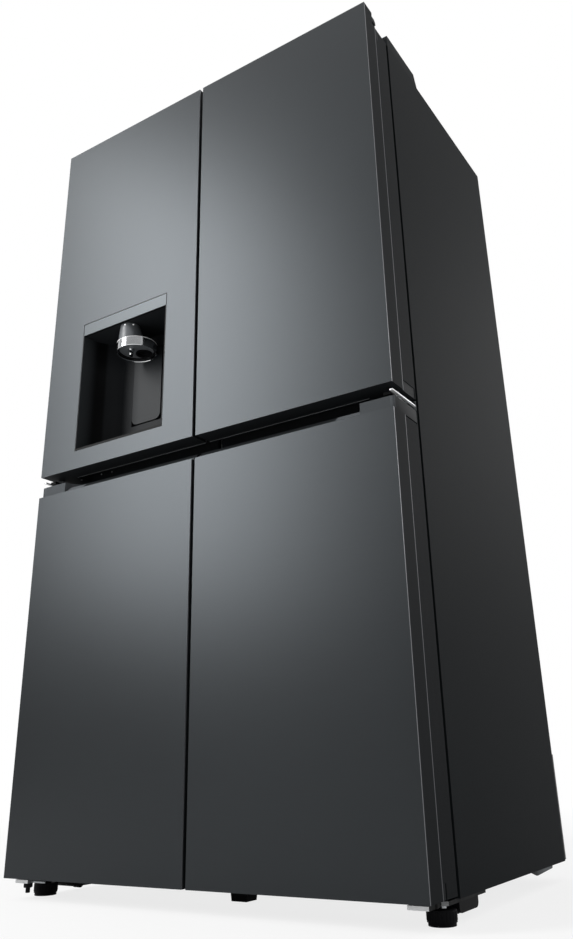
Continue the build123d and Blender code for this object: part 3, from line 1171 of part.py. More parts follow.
def dispenser_housing():
    """Recess tub with its floor, its ceiling box and the paddle's pocket."""
    z0, z1 = DISP_BOTTOM, DISP_TOP - PANEL_HEIGHT
    floor_z = z0 + DISP_WALL * 2
    shell = recess_prism(DISP_WALL, 0, DISP_DEPTH, z0, z1)
    shell = shell - recess_prism(0, -1, DISP_DEPTH, floor_z, z1 + 1)
    head = block(DISP_X - DISP_HALF, DISP_X + DISP_HALF, DOOR_LINER * 2, DISP_DEPTH + DISP_WALL,
                 z1, DISP_TOP)
    half = PADDLE_HALF + PADDLE_GAP
    low, high = PADDLE_BOTTOM - PADDLE_GAP, PADDLE_TOP + PADDLE_GAP
    back = DISP_DEPTH + POCKET_DEPTH
    pocket = block(PADDLE_X - half - DISP_WALL, PADDLE_X + half + DISP_WALL, DISP_DEPTH,
                   back + DISP_WALL, low - DISP_WALL, high + DISP_WALL)
    room = block(PADDLE_X - half, PADDLE_X + half, DISP_DEPTH - CAP_OVERLAP, back, low, high)
    pin = rod((PADDLE_X - half - 1, paddle_axis_d(), paddle_axis_z()), (1, 0, 0), half * 2 + 2,
              PADDLE_PIN_R)
    return shell + head + pocket - room + pin


def paddle_axis_d():
    return DISP_DEPTH + PADDLE_THICK / 2 + BARREL_WALL


def paddle_axis_z():
    return PADDLE_TOP - PADDLE_THICK * 2


def paddle():
    """Push plate with rounded lower corners, turning on a pin at its top."""
    d0 = DISP_DEPTH - PADDLE_PROUD
    plate = block(PADDLE_X - PADDLE_HALF, PADDLE_X + PADDLE_HALF, d0, d0 + PADDLE_THICK,
                  PADDLE_BOTTOM, PADDLE_TOP)
    corners = plate.edges().filter_by(Axis.Y).group_by(Axis.Z)[0]
    plate = fillet(corners, PADDLE_CORNER)
    barrel = rod((PADDLE_X - PADDLE_HALF, paddle_axis_d(), paddle_axis_z()), (1, 0, 0),
                 PADDLE_HALF * 2, PADDLE_PIN_R + BARREL_WALL)
    bore = rod((PADDLE_X - PADDLE_HALF - 1, paddle_axis_d(), paddle_axis_z()), (1, 0, 0),
               PADDLE_HALF * 2 + 2, PADDLE_PIN_R + RUN)
    return plate + barrel - bore


def control_panel():
    x = DISP_HALF - FIT
    z0 = DISP_TOP - PANEL_HEIGHT
    return block(DISP_X - x, DISP_X + x, 0, DOOR_LINER * 2, z0, DISP_TOP - FIT)


def nozzle_body():
    """Leaning neck and disc under the recess's ceiling, with the ice chute."""
    base = (DISP_X, NOZZLE_D, NOZZLE_Z + DISC_SINK)
    disc = rod(base, (0, 0, 1), RING_HEIGHT - DISC_SINK, NOZZLE_R - RING_WALL)
    ceiling = DISP_TOP - PANEL_HEIGHT
    low = Pos(DISP_X - NOZZLE_NECK_SIDE, FRONT + NOZZLE_D - NOZZLE_NECK_AHEAD,
              NOZZLE_Z + RING_HEIGHT)
    high = Pos(DISP_X - NOZZLE_TOP_SIDE, FRONT + NOZZLE_D - NOZZLE_TOP_AHEAD, ceiling)
    neck = loft([low * Circle(NOZZLE_NECK_R), high * Circle(NOZZLE_TOP_R)])
    chute = rod((DISP_X + CHUTE_SIDE, CHUTE_D, NOZZLE_Z - REACH_OUT), (0, 0, 1),
                CHUTE_LENGTH + REACH_OUT, CHUTE_R)
    return disc + neck - chute


def nozzle_chrome():
    """Bright ring round the disc, and the water spout below it."""
    ring_solid = rod((DISP_X, NOZZLE_D, NOZZLE_Z), (0, 0, 1), RING_HEIGHT, NOZZLE_R)
    ring_solid = ring_solid - rod((DISP_X, NOZZLE_D, NOZZLE_Z - 1), (0, 0, 1),
                                  RING_HEIGHT + 2, NOZZLE_R - RING_WALL)
    x, d = DISP_X - SPOUT_SIDE, NOZZLE_D - SPOUT_AHEAD
    spout = rod((x, d, NOZZLE_Z - SPOUT_DROP), (0, 0, 1), SPOUT_DROP + DISC_SINK, SPOUT_R)
    hole = rod((x, d, NOZZLE_Z - SPOUT_DROP - REACH_OUT), (0, 0, 1), SPOUT_DROP,
               SPOUT_R - SPOUT_WALL)
    return [ring_solid, spout - hole]


def flip_mullion():
    """Sealing bar on the left upper door's free edge, folded back at rest."""
    z0, z1 = FRIDGE_FLOOR + DYKE_MARGIN, FRIDGE_CEILING - DYKE_MARGIN
    bar = block(-MULLION_X - MULLION_HALF, -MULLION_X + MULLION_HALF, MULLION_D,
                MULLION_D + MULLION_LENGTH, z0, z1)
    hub = rod((-MULLION_X, MULLION_D, z0), (0, 0, 1), z1 - z0, MULLION_HALF)
    bore = rod((-MULLION_X, MULLION_D, z0 - 1), (0, 0, 1), z1 - z0 + 2, PADDLE_PIN_R + RUN)
    return bar + hub - bore


def mullion_hinges():
    """Lugs and the pin on the left door's liner that carry the mullion."""
    z0, z1 = FRIDGE_FLOOR + DYKE_MARGIN, FRIDGE_CEILING - DYKE_MARGIN
    pieces = rod((-MULLION_X, MULLION_D, z0 - LUG_HEIGHT), (0, 0, 1),
                 z1 - z0 + LUG_HEIGHT * 2, PADDLE_PIN_R)
    root = GASKET_INNER_X + GASKET_WIDTH + LUG_CLEAR
    back = MULLION_D + LUG_REACH
    for low, high in ((z0 - LUG_HEIGHT, z0 - SEAT), (z1 + SEAT, z1 + LUG_HEIGHT)):
        pieces = pieces + block(-LEFT_DYKE_INNER_X - LUG_REACH, -root,
                                DOOR_DEPTH - DOOR_LINER, back, low, high)
        pieces = pieces + block(-root, -MULLION_X + HINGE_PIN_R, CABINET_FRONT, back, low, high)
    return pieces


def ice_box():
    """Insulated ice compartment on the left door, above the dispenser."""
    x0 = -UPPER_DYKE_OUTER_X + DYKE_WIDTH + ICE_BOX_MARGIN
    x1 = -LEFT_DYKE_INNER_X - DYKE_WIDTH - ICE_BOX_MARGIN
    box = block(x0, x1, DOOR_DEPTH, ICE_BOX_BACK, BULGE_TOP, ICE_BOX_TOP)
    lid = ring(x0 + LID_INSET, x1 - LID_INSET, ICE_BOX_BACK - LID_GROOVE_DEPTH, ICE_BOX_BACK,
               BULGE_TOP + LID_INSET, ICE_BOX_TOP - LID_INSET, LID_GROOVE)
    inside = block(x0 + ICE_BOX_WALL, x1 - ICE_BOX_WALL, DOOR_DEPTH + ICE_BOX_WALL,
                   ICE_BOX_BACK - ICE_BOX_WALL, BULGE_TOP + ICE_BOX_WALL,
                   ICE_BOX_TOP - ICE_BOX_WALL)
    return box - inside - lid


def left_upper_door():
    """The upper door with its dispenser opening and the bulge behind it."""
    door = upper_door(LEFT_DYKE_INNER_X)
    pieces = {name: [flip(s) for s in shape] if isinstance(shape, list) else flip(shape)
              for name, shape in door.items()}
    hole = block(DISP_X - DISP_HALF - FIT, DISP_X + DISP_HALF + FIT, -1, SKIN + 1,
                 DISP_BOTTOM - FIT, DISP_TOP + FIT)
    well = block(DISP_X - DISP_HALF - 1, DISP_X + DISP_HALF + 1, 0,
                 DISP_DEPTH + POCKET_DEPTH + DISP_WALL + 1, DISP_BOTTOM - 1, DISP_TOP + 1)
    bulge_x0 = -UPPER_DYKE_OUTER_X + DYKE_WIDTH / 2
    bulge_x1 = -LEFT_DYKE_INNER_X - DYKE_WIDTH / 2
    bulge_z0 = FRIDGE_FLOOR + DYKE_MARGIN + DYKE_WIDTH / 2
    outer = block(bulge_x0, bulge_x1, DOOR_DEPTH - DOOR_LINER, BULGE_DEPTH, bulge_z0, BULGE_TOP)
    inner = block(bulge_x0 + DOOR_LINER, bulge_x1 - DOOR_LINER, DOOR_DEPTH - DOOR_LINER - 1,
                  BULGE_DEPTH - DOOR_LINER, bulge_z0 + DOOR_LINER, BULGE_TOP - DOOR_LINER)
    stuffing = block(bulge_x0 + DOOR_LINER, bulge_x1 - DOOR_LINER, WRAP_DEPTH,
                     BULGE_DEPTH - DOOR_LINER, bulge_z0 + DOOR_LINER, BULGE_TOP - DOOR_LINER)
    pieces["skin"] = pieces["skin"] - hole
    pieces["core"] = pieces["core"] + stuffing - well
    pieces["liner"] = pieces["liner"] + outer - inner + mullion_hinges()
    return pieces


# ------------------------------------------------------------ write the nodes
def write_cabinet():
    save("cabinet_shell", cabinet_shell())
    save("cabinet_foam", cabinet_foam())
    save("fridge_liner", fridge_liner())
    save("freezer_liner", freezer_liner())
    save("mid_rail", mid_rail())
    save("base_pan", base_pan())
    save("back_panel", back_panel())
    save("compressor_cover", compressor_cover())
    save("compressor", compressor())
    save("condenser", condenser())
    save("condenser_fan", fan((CONDENSER_FAN_X, BAY_MIDDLE_D, CONDENSER_FAN_Z), (1, 0, 0), FAN_R))
    save("evaporator", evaporator())
    save("freezer_fan", fan((FREEZER_FAN_X, FREEZER_FAN_D, FREEZER_FAN_Z), (0, 1, 0),
                            FAN_R - FREEZER_FAN_TRIM))
    save("air_ducts", air_ducts())
    save("rear_inlets", rear_inlets())


def write_insides():
    save("shelf_frames", [shelf_frame(level) for level in SHELF_LEVELS])
    save("glass_shelves", [shelf_glass(level) for level in SHELF_LEVELS])
    right_crisper = crisper_drawer()
    save("crisper_drawer_right", right_crisper)
    save("crisper_drawer_left", flip(right_crisper))
    lower = freezer_drawer(LOWER_DRAWER_FLOOR, BAY_FRONT - BAY_INSULATION - DRAWER_REAR_GAP)
    upper = freezer_drawer(UPPER_DRAWER_FLOOR, DUCT_D - DRAWER_REAR_GAP)
    for level, drawer in (("lower", lower), ("upper", upper)):
        save("freezer_drawer_right_" + level, drawer)
        save("freezer_drawer_left_" + level, flip(drawer))


def write_fittings():
    hinges = [top_hinge(), middle_hinge(), bottom_hinge()]
    save("hinge_plates", [both(hinge)[i] for hinge in hinges for i in (0, 1)])
    save("hinge_covers", both(hinge_cover()))
    foot = levelling_foot()
    save("levelling_foot_right", foot)
    save("levelling_foot_left", flip(foot))
    save("centre_foot", centre_foot())
    front = roller(FRONT_ROLLER_X, FRONT_ROLLER_D, FRONT_ROLLER_LIFT + FRONT_ROLLER_R,
                   FRONT_ROLLER_R)
    rear = roller(REAR_ROLLER_X, REAR_ROLLER_D, REAR_ROLLER_R, REAR_ROLLER_R)
    save("front_rollers", both(front))
    save("rear_rollers", both(rear))
    save("roller_carriers", both(front_carrier()), both(rear_carrier()))


def write_doors():
    doors = {"upper_left": left_upper_door(), "upper_right": upper_door(DYKE_INNER_X),
             "lower_right": lower_door()}
    doors["lower_left"] = {name: [flip(s) for s in shape] if isinstance(shape, list)
                           else flip(shape) for name, shape in doors["lower_right"].items()}
    for door, pieces in doors.items():
        for name, shape in pieces.items():
            save(door + "_" + name, shape)
    inner = DYKE_INNER_X + DYKE_WIDTH + FIT
    outer = UPPER_DYKE_OUTER_X - DYKE_WIDTH - FIT
    save("upper_right_bins", [door_bin(z, inner, outer, DOOR_DEPTH) for z in RIGHT_BIN_FLOORS])
    inner = LEFT_DYKE_INNER_X + DYKE_WIDTH
    save("upper_left_bins", [door_bin(z, -outer, -inner, BULGE_DEPTH) for z in LEFT_BIN_FLOORS])


def write_dispenser():
    save("dispenser_housing", dispenser_housing())
    save("control_panel", control_panel())
    save("nozzle_body", nozzle_body())
    save("nozzle_chrome", nozzle_chrome())
    save("paddle", paddle())
    save("flip_mullion", flip_mullion())
    save("ice_box", ice_box())


write_cabinet()
write_insides()
write_fittings()
write_doors()
write_dispenser()
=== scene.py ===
# %% [markdown]
# # A four-door refrigerator in the studio
# The cabinet, doors, drawers, hinges and feet are finished solids from the CAD model.  This lesson
# dresses them: it sets a camera and soft lamps, mixes a finish for every surface, and models the
# small trims, lamps, screws and ribs that a CAD model leaves out.  Everything is in metres, with
# +X to the viewer's right, +Y from the door fronts to the wall and +Z up.

# %% Load the CAD model
import math

import bmesh
import bpy
from mathutils import Matrix, Vector


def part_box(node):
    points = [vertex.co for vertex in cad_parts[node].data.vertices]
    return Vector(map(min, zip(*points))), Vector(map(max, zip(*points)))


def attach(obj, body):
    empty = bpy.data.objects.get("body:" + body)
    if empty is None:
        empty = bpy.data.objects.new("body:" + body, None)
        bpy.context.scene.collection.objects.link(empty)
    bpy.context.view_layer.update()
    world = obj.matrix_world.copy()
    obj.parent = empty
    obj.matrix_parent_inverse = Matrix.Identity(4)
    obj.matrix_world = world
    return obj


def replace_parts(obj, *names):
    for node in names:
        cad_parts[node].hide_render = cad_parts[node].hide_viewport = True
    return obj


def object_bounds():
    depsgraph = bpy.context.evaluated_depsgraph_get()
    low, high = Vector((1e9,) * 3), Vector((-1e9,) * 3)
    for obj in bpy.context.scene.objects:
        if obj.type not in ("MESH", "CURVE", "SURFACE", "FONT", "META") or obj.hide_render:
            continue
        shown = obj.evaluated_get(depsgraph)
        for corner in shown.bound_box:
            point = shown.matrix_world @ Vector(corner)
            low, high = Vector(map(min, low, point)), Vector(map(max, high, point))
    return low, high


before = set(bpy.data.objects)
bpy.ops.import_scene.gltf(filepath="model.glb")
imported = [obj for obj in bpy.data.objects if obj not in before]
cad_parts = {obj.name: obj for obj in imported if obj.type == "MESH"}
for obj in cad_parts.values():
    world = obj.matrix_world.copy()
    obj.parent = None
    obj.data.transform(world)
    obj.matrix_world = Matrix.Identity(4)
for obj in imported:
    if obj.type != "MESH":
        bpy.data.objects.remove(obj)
cad_low, cad_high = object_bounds()
scene = bpy.context.scene
scene.view_settings.view_transform = "Standard"
print("CAD nodes:", len(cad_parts), "box:", tuple(cad_low), tuple(cad_high))

# %% [markdown]
# ## The camera
# The camera stands low, a little to the right of the refrigerator, and looks up at it.  A lens of
# about 32 mm on a 36 mm sensor gives the strong perspective that makes the tall doors taper.
# A small shift slides the picture in its frame without bending that perspective.

# %% Place the camera
camera_data = bpy.data.cameras.new("studio_camera")
camera_data.lens = 32.106
camera_data.sensor_width = 36.0
camera_data.shift_x = -0.0120
camera_data.shift_y = -0.0435
camera = bpy.data.objects.new("studio_camera", camera_data)
camera.location = (1.0371, -1.5864, 0.2296)
camera.rotation_euler = tuple(math.radians(turn) for turn in (111.888, 1.427, 32.707))
scene.collection.objects.link(camera)
scene.camera = camera
print("camera lens", camera_data.lens, "mm at", tuple(camera.location))

# %% [markdown]
# ## Colours as a maker writes them
# A paint maker gives a colour as a six-figure code.  Blender's sockets want linear light, so one
# helper turns the code into the numbers that render as that code.

# %% Colour helper
def paint(code):
    """Linear colour from a six-figure code."""
    parts = [int(code[place:place + 2], 16) / 255 for place in (0, 2, 4)]
    linear = [part / 12.92 if part <= 0.04045 else ((part + 0.055) / 1.055) ** 2.4 for part in parts]
    return (*linear, 1.0)


# %% [markdown]
# ## Shader sums written as Python
# A finish is a small network of nodes.  Wiring each Math node by hand hides what the network
# means, so a wire is wrapped in a class whose plus, minus and times signs add the nodes.

# %% A wire between nodes
class Wire:
    """A number, colour or vector that travels between two shader nodes."""

    def __init__(self, finish, socket):
        self.finish = finish
        self.socket = socket

    def sum(self, operation, first, second):
        return self.finish.node("ShaderNodeMath", {"operation": operation}, {0: first, 1: second})

    def __add__(self, other):
        return self.sum("ADD", self, other)

    def __radd__(self, other):
        return self.sum("ADD", other, self)

    def __sub__(self, other):
        return self.sum("SUBTRACT", self, other)

    def __rsub__(self, other):
        return self.sum("SUBTRACT", other, self)

    def __mul__(self, other):
        return self.sum("MULTIPLY", self, other)

    def __abs__(self):
        return self.sum("ABSOLUTE", self, 0.0)

    def most(self, other):
        return self.sum("MAXIMUM", self, other)


# %% [markdown]
# ## A finish
# Each finish is one Principled shader.  The class keeps the few nodes that metal, paint, plastic
# and rubber share: noise, cells, a place along an axis, soft steps between two values, a mix of
# two tones and a bump.  Patterns read Object coordinates, so they stay put when a door swings.

# %% The finish class
class Finish:
    """A material built from one Principled shader and what feeds it."""

    def __init__(self, name, **constants):
        self.material = bpy.data.materials.new(name)
        self.material.use_nodes = True
        self.tree = self.material.node_tree
        self.shader = self.tree.nodes["Principled BSDF"]
        for socket, value in constants.items():
            self.give(socket.replace("_", " "), value)

    def connect(self, socket, value):
        if isinstance(value, Wire):
            self.tree.links.new(value.socket, socket)
        else:
            socket.default_value = value

    def give(self, socket, value):
        self.connect(self.shader.inputs[socket], value)

    def node(self, kind, settings=None, links=None, output=0):
        made = self.tree.nodes.new(kind)
        for name, value in (settings or {}).items():
            setattr(made, name, value)
        for socket, value in (links or {}).items():
            self.connect(made.inputs[socket], value)
        return Wire(self, made.outputs[output])

    def place(self, stretch=(1, 1, 1)):
        spot = self.node("ShaderNodeTexCoord", output="Object")
        return self.node("ShaderNodeMapping", links={"Vector": spot, "Scale": stretch})

    def along(self, axis):
        return self.node("ShaderNodeSeparateXYZ", links={0: self.place()}, output=axis)

    def facing(self, axis):
        direction = self.node("ShaderNodeTexCoord", output="Normal")
        return self.node("ShaderNodeSeparateXYZ", links={0: direction}, output=axis)

    def depth(self):
        """Metres behind the door fronts."""
        return self.along("Y") - cad_low.y

    def turned_back(self):
        """1 where a surface faces sideways, up or down, 0 where it faces the front or the back."""
        return self.step(abs(self.facing("Y")), 0.3, 0.8, 1.0, 0.0)

    def noise(self, scale, detail=2.0, stretch=(1, 1, 1)):
        links = {"Vector": self.place(stretch), "Scale": scale, "Detail": detail}
        return self.node("ShaderNodeTexNoise", links=links)

    def cells(self, scale, output="Distance", feature="F1"):
        links = {"Vector": self.place(), "Scale": scale}
        return self.node("ShaderNodeTexVoronoi", {"feature": feature}, links, output)

    def step(self, value, low, high, at_low=0.0, at_high=1.0):
        links = {"Value": value, 1: low, 2: high, 3: at_low, 4: at_high}
        return self.node("ShaderNodeMapRange", {"interpolation_type": "SMOOTHSTEP"}, links)

    def tone(self, factor, first, second):
        links = {0: factor, 6: first, 7: second}
        return self.node("ShaderNodeMix", {"data_type": "RGBA"}, links, output=2)

    def bump(self, height, depth, strength):
        links = {"Height": height, "Distance": depth, "Strength": strength}
        self.give("Normal", self.node("ShaderNodeBump", links=links))


# %% [markdown]
# ## The studio
# The refrigerator stands on a pale paper floor that runs on into a white room.  The camera sees
# the far paper at a strength of exactly 1, straight or through glass, and metal mirrors only a
# small share of that glow.  Close to the feet the paper still takes a soft shadow; a few metres
# away it melts into the background.

# %% Pale floor
FLOOR_HALF = 14.0
FLOOR_GLOW = 0.80
MIRRORED_FLOOR = 0.15
floor_mesh = bpy.data.meshes.new("paper_floor")
sheet = bmesh.new()
bmesh.ops.create_grid(sheet, x_segments=4, y_segments=4, size=FLOOR_HALF)
sheet.to_mesh(floor_mesh)
sheet.free()
floor = bpy.data.objects.new("paper_floor", floor_mesh)
floor.location.z = -0.0004
scene.collection.objects.link(floor)

paper = Finish("pale_paper", Roughness=0.9)
paper.give("Specular IOR Level", 0.1)
fibres = paper.noise(60.0, detail=4.0)
paper.give("Base Color", paper.tone(fibres, paint("f0f0f0"), paint("f6f6f6")))
far = paper.node("ShaderNodeVectorMath", {"operation": "LENGTH"}, {0: paper.place()}, output="Value")
seen = (paper.node("ShaderNodeLightPath", output="Is Camera Ray")
        + paper.node("ShaderNodeLightPath", output="Is Glossy Ray") * MIRRORED_FLOOR
        + paper.node("ShaderNodeLightPath", output="Is Transmission Ray"))
glow = paper.node("ShaderNodeEmission", links={"Color": (1, 1, 1, 1), "Strength": 1.0})
share = seen * paper.step(far, 0.9, 3.2, FLOOR_GLOW, 1.0)
mixed = paper.node("ShaderNodeMixShader", links={0: share, 1: Wire(paper, paper.shader.outputs[0]), 2: glow})
paper.connect(paper.tree.nodes["Material Output"].inputs["Surface"], mixed)
floor_mesh.materials.append(paper.material)
print("floor", 2 * FLOOR_HALF, "m wide")

# %% [markdown]
# ## The white room
# The camera, and what it sees through glass, meet a white of strength 1.  Satin metal mirrors
# another room: dim low in front, bright overhead and behind, which shades the tall doors from top
# to bottom.  All other rays see a plain dim room, so the white never becomes extra light.

# %% White room
ROOM_LEVEL = 0.38
DIM_FRONT = 0.18
BRIGHT_TOP = 1.42
room = bpy.data.worlds.new("white_room")
scene.world = room
room.use_nodes = True


class Room(Finish):
    """The world's own node tree, with the same helpers as a finish."""

    def __init__(self, world):
        self.tree = world.node_tree
        self.tree.nodes.clear()


walls = Room(room)
white_seen = (walls.node("ShaderNodeLightPath", output="Is Camera Ray")
              + walls.node("ShaderNodeLightPath", output="Is Transmission Ray"))
mirrored = walls.node("ShaderNodeLightPath", output="Is Glossy Ray")
direction = walls.node("ShaderNodeTexCoord", output="Generated")
to_back = walls.node("ShaderNodeSeparateXYZ", links={0: direction}, output="Y")
to_top = walls.node("ShaderNodeSeparateXYZ", links={0: direction}, output="Z")
front_level = walls.step(to_top, 0.36, 0.80, DIM_FRONT, BRIGHT_TOP)
mirror_level = front_level + walls.step(to_back, -0.45, 0.1) * (1 - front_level)
level = white_seen + mirrored * mirror_level + (1 - white_seen - mirrored) * ROOM_LEVEL
backdrop = walls.node("ShaderNodeBackground", links={"Color": (1, 1, 1, 1), "Strength": level})
world_out = walls.tree.nodes.new("ShaderNodeOutputWorld")
walls.connect(world_out.inputs["Surface"], backdrop)
print("room level for soft light:", ROOM_LEVEL)

# %% [markdown]
# ## Soft lamps
# A tall softbox stands at the front left.  The satin doors mirror it as one broad pale glow near
# the centre gap that fades towards the edges and the floor.  A wide overhead panel and a weaker
# one behind keep the top, the sides and the back readable.

# %% Softboxes
def softbox(name, spot, target, width, height, brightness):
    """A rectangular lamp of an even brightness, where 1 is paper white."""
    lamp = bpy.data.lights.new(name, "AREA")
    lamp.shape = "RECTANGLE"
    lamp.size = width
    lamp.size_y = height
    lamp.energy = brightness * width * height * math.pi
    holder = bpy.data.objects.new(name, lamp)
    holder.location = spot
    aim = Vector(target) - Vector(spot)
    holder.rotation_euler = aim.to_track_quat("-Z", "Y").to_euler()
    scene.collection.objects.link(holder)
    print(name, "gives", round(lamp.energy, 1), "W")


softbox("key_softbox", (-1.71, -2.29, 2.14), (-0.07, -0.34, 1.02), 0.90, 2.3, 13.6)
softbox("overhead_panel", (0.2, 0.3, 4.2), (0.0, 0.0, 1.0), 2.6, 2.6, 1.6)
softbox("rear_softbox", (1.9, 3.4, 2.4), (0.0, 0.3, 0.9), 1.8, 1.8, 2.2)

# %% [markdown]
# ## Door steel
# The doors are satin graphite steel under a thin clear coat.  Rolling and brushing leave hairlines
# that run across the sheet, far longer than they are high, and the tone drifts very slightly.  A
# noise squeezed along Z gives the hairlines; it feeds roughness and a shallow bump.  Only the front
# is steel: the sides that turn back are dark paint, with a painted highlight line at the front
# corner and at the rolled hem.

# %% Satin door steel
MM = 0.001


def brushed(made, dark, pale):
    """Colour, roughness and hairlines of the satin steel, for any part of a finish."""
    hairline = made.noise(9.0, detail=3.0, stretch=(1, 1, 110))
    drift = made.noise(2.2, detail=2.0)
    colour = made.tone(hairline * 0.45 + drift * 0.55, paint(dark), paint(pale))
    return colour, 0.335 + hairline * 0.05 + drift * 0.03, hairline


def steel_skin(name, dark, pale):
    """Brushed steel in front, dark paint on the sides that turn back, with painted highlight lines at the
    corner and the hem.
    """
    made = Finish(name)
    colour, gloss, hairline = brushed(made, dark, pale)
    back = made.depth()
    corner = made.step(back, 2.2 * MM, 3.0 * MM, 1.0, 0.0)
    hem = made.step(back, 45.6 * MM, 46.4 * MM)
    turned = made.turned_back()
    # Painted highlight: a pale, less metallic line where the front corner and the hem would catch the light.
    edge_glint = turned * corner.most(hem * 0.7)
    painted = turned - edge_glint
    side = made.tone(made.noise(5.0), paint("191b1d"), paint("1e2022"))
    faced = made.tone(painted, colour, side)
    made.give("Base Color", made.tone(edge_glint, faced, paint("7c7e82")))
    made.give("Metallic", 0.94 - painted * 0.92 - edge_glint * 0.5)
    made.give("Roughness", gloss + painted * 0.3)
    made.give("Specular IOR Level", 0.05)
    made.bump(hairline, 0.00003, 0.35)
    return made


DOOR_TONES = ("36383a", "3c3f41")
CONTROL_TONES = ("3a3d3f", "404345")
door_steel = steel_skin("satin_door_steel", *DOOR_TONES)

# %% [markdown]
# ## Painted side steel
# The cabinet sides are the same sheet, but painted dark and rolled with a fine leather grain that
# hides fingerprints.  Small soft cells make the grain, and a duller surface than the doors.

# %% Grained side paint
side_steel = Finish("grained_side_paint", Metallic=0.0)
side_steel.give("Specular IOR Level", 0.04)
leather = side_steel.cells(420.0, feature="SMOOTH_F1")
cloud = side_steel.noise(3.0)
side_steel.give("Base Color", side_steel.tone(cloud, paint("15181a"), paint("1a1d1f")))
side_steel.give("Roughness", 0.58 + leather * 0.1)
side_steel.bump(leather, 0.00008, 0.5)

# %% [markdown]
# ## Zinc sheet
# Rails, covers, hinge arms and the base pan are galvanised.  Molten zinc freezes in flat crystals,
# the spangle, each of which reflects a little differently: cells with one flat tone each.

# %% Galvanised sheet
def galvanised(name):
    """Zinc sheet, painted near black as shade where its edge shows at the cabinet's side."""
    made = Finish(name)
    spangle = made.cells(90.0, output="Color")
    crystal = made.node("ShaderNodeSeparateColor", links={0: spangle})
    made.zinc = made.tone(crystal, paint("9a9ea1"), paint("b9bdbf"))
    # Painted shade: near black where the zinc's edge shows at the cabinet's side, under the side panel.
    made.rim = made.step(abs(made.along("X")), cad_high.x - 4 * MM, cad_high.x - 3 * MM)
    made.give("Base Color", made.tone(made.rim, made.zinc, paint("17191a")))
    made.give("Metallic", 0.9 - made.rim * 0.9)
    made.give("Roughness", 0.34 + crystal * 0.16)
    return made


zinc_steel = galvanised("galvanised_sheet")

hinge_steel = galvanised("hinge_steel")
low_plate = hinge_steel.step(hinge_steel.along("Z"), 45 * MM, 50 * MM, 1.0, 0.0)
behind = hinge_steel.step(hinge_steel.facing("Y"), -0.9, -0.7)
across = hinge_steel.along("X")
inner_left = hinge_steel.step(across, -411 * MM, -410 * MM) * hinge_steel.step(across, 0, 1 * MM, 1.0, 0.0)
nose = hinge_steel.step(hinge_steel.depth(), 38 * MM, 44 * MM, 1.0, 0.0)
blacked = (low_plate * behind * (1 - inner_left * 0.4)).most((1 - low_plate) * nose)
# Painted highlight: the low plate's front face, seen edge-on under the door, is painted near white and less
# metallic.
lit_plate_face = low_plate * (1 - behind)
plate_highlight = hinge_steel.tone(lit_plate_face, hinge_steel.zinc, paint("f4f5f6"))
hinge_steel.give("Base Color", hinge_steel.tone(blacked, plate_highlight, paint("0d0e0f")))
hinge_steel.give("Metallic", 0.9 - blacked * 0.9 - lit_plate_face * 0.7)
hinge_steel.give("Specular IOR Level", 0.08)

# %% [markdown]
# ## Foam
# Blown foam fills the walls and doors.  Fine cells and slow lumps make its skin.

# %% Insulation foam
foam = Finish("insulation_foam", Roughness=0.95)
pores = foam.cells(700.0)
lumps = foam.noise(40.0, detail=4.0)
foam.give("Base Color", foam.tone(lumps, paint("d9c68c"), paint("ead9a4")))
foam.bump(pores * 0.5 + lumps, 0.0008, 0.8)

# %% [markdown]
# ## Liners
# The liners are white sheet drawn over a mould, glossy with a faint orange peel.  A door's liner
# is painted near black at its sides, as painted shade, where it shows in the gap between the skin
# and the gasket.

# %% White drawn liner
def drawn_white(name):
    """White sheet drawn over a mould, with an orange peel."""
    made = Finish(name)
    peel = made.noise(240.0, detail=2.0)
    made.white = made.tone(made.noise(5.0), paint("dfe2e3"), paint("e8eaea"))
    made.give("Base Color", made.white)
    made.gloss = 0.27 + peel * 0.1
    made.give("Roughness", made.gloss)
    made.bump(peel, 0.00012, 0.35)
    return made


white_liner = drawn_white("white_drawn_liner")

door_liner = drawn_white("door_liner")
# Painted shade: the liner's sides and the flange rim, where they show in the gap, are painted near black and
# duller.
flange_gap_shade = door_liner.step(abs(door_liner.along("X")), cad_high.x - 25 * MM, cad_high.x - 24 * MM)
gap_shade = door_liner.step(door_liner.depth(), 101.0 * MM, 101.6 * MM, 1.0, 0.0).most(flange_gap_shade)
gap_shade_tone = door_liner.tone(door_liner.noise(9.0), paint("17191b"), paint("1c1e20"))
door_liner.give("Base Color", door_liner.tone(gap_shade, door_liner.white, gap_shade_tone))
door_liner.give("Specular IOR Level", 0.05)
door_liner.give("Coat Weight", (1 - gap_shade) * 0.4)
door_liner.give("Roughness", door_liner.gloss + gap_shade * 0.35)

# %% [markdown]
# ## Moulded plastics and rubber
# The moulded dark parts carry a spark-eroded grain, and the rubber is the same but duller.

# %% Moulded plastics
def moulded(name, dark, pale, roughness, grain_depth, level=0.5):
    """A moulded plastic with a spark-eroded grain and a slow drift of tone."""
    made = Finish(name)
    made.give("Specular IOR Level", level)
    grain = made.noise(1400.0, detail=3.0)
    slow = made.noise(14.0)
    made.base = made.tone(grain * 0.35 + slow * 0.65, paint(dark), paint(pale))
    made.give("Base Color", made.base)
    made.give("Roughness", roughness + grain * 0.12)
    made.bump(grain, grain_depth, 0.5)
    return made


dark_plastic = moulded("charcoal_plastic", "1d2022", "232629", 0.48, 0.00010, 0.2)
black_plastic = moulded("black_plastic", "101012", "161618", 0.46, 0.00012, 0.06)
grey_plastic = moulded("grey_plastic", "8b8e91", "969a9c", 0.36, 0.00008)
gasket_rubber = moulded("gasket_rubber", "1d1e20", "27282a", 0.72, 0.00015, 0.2)
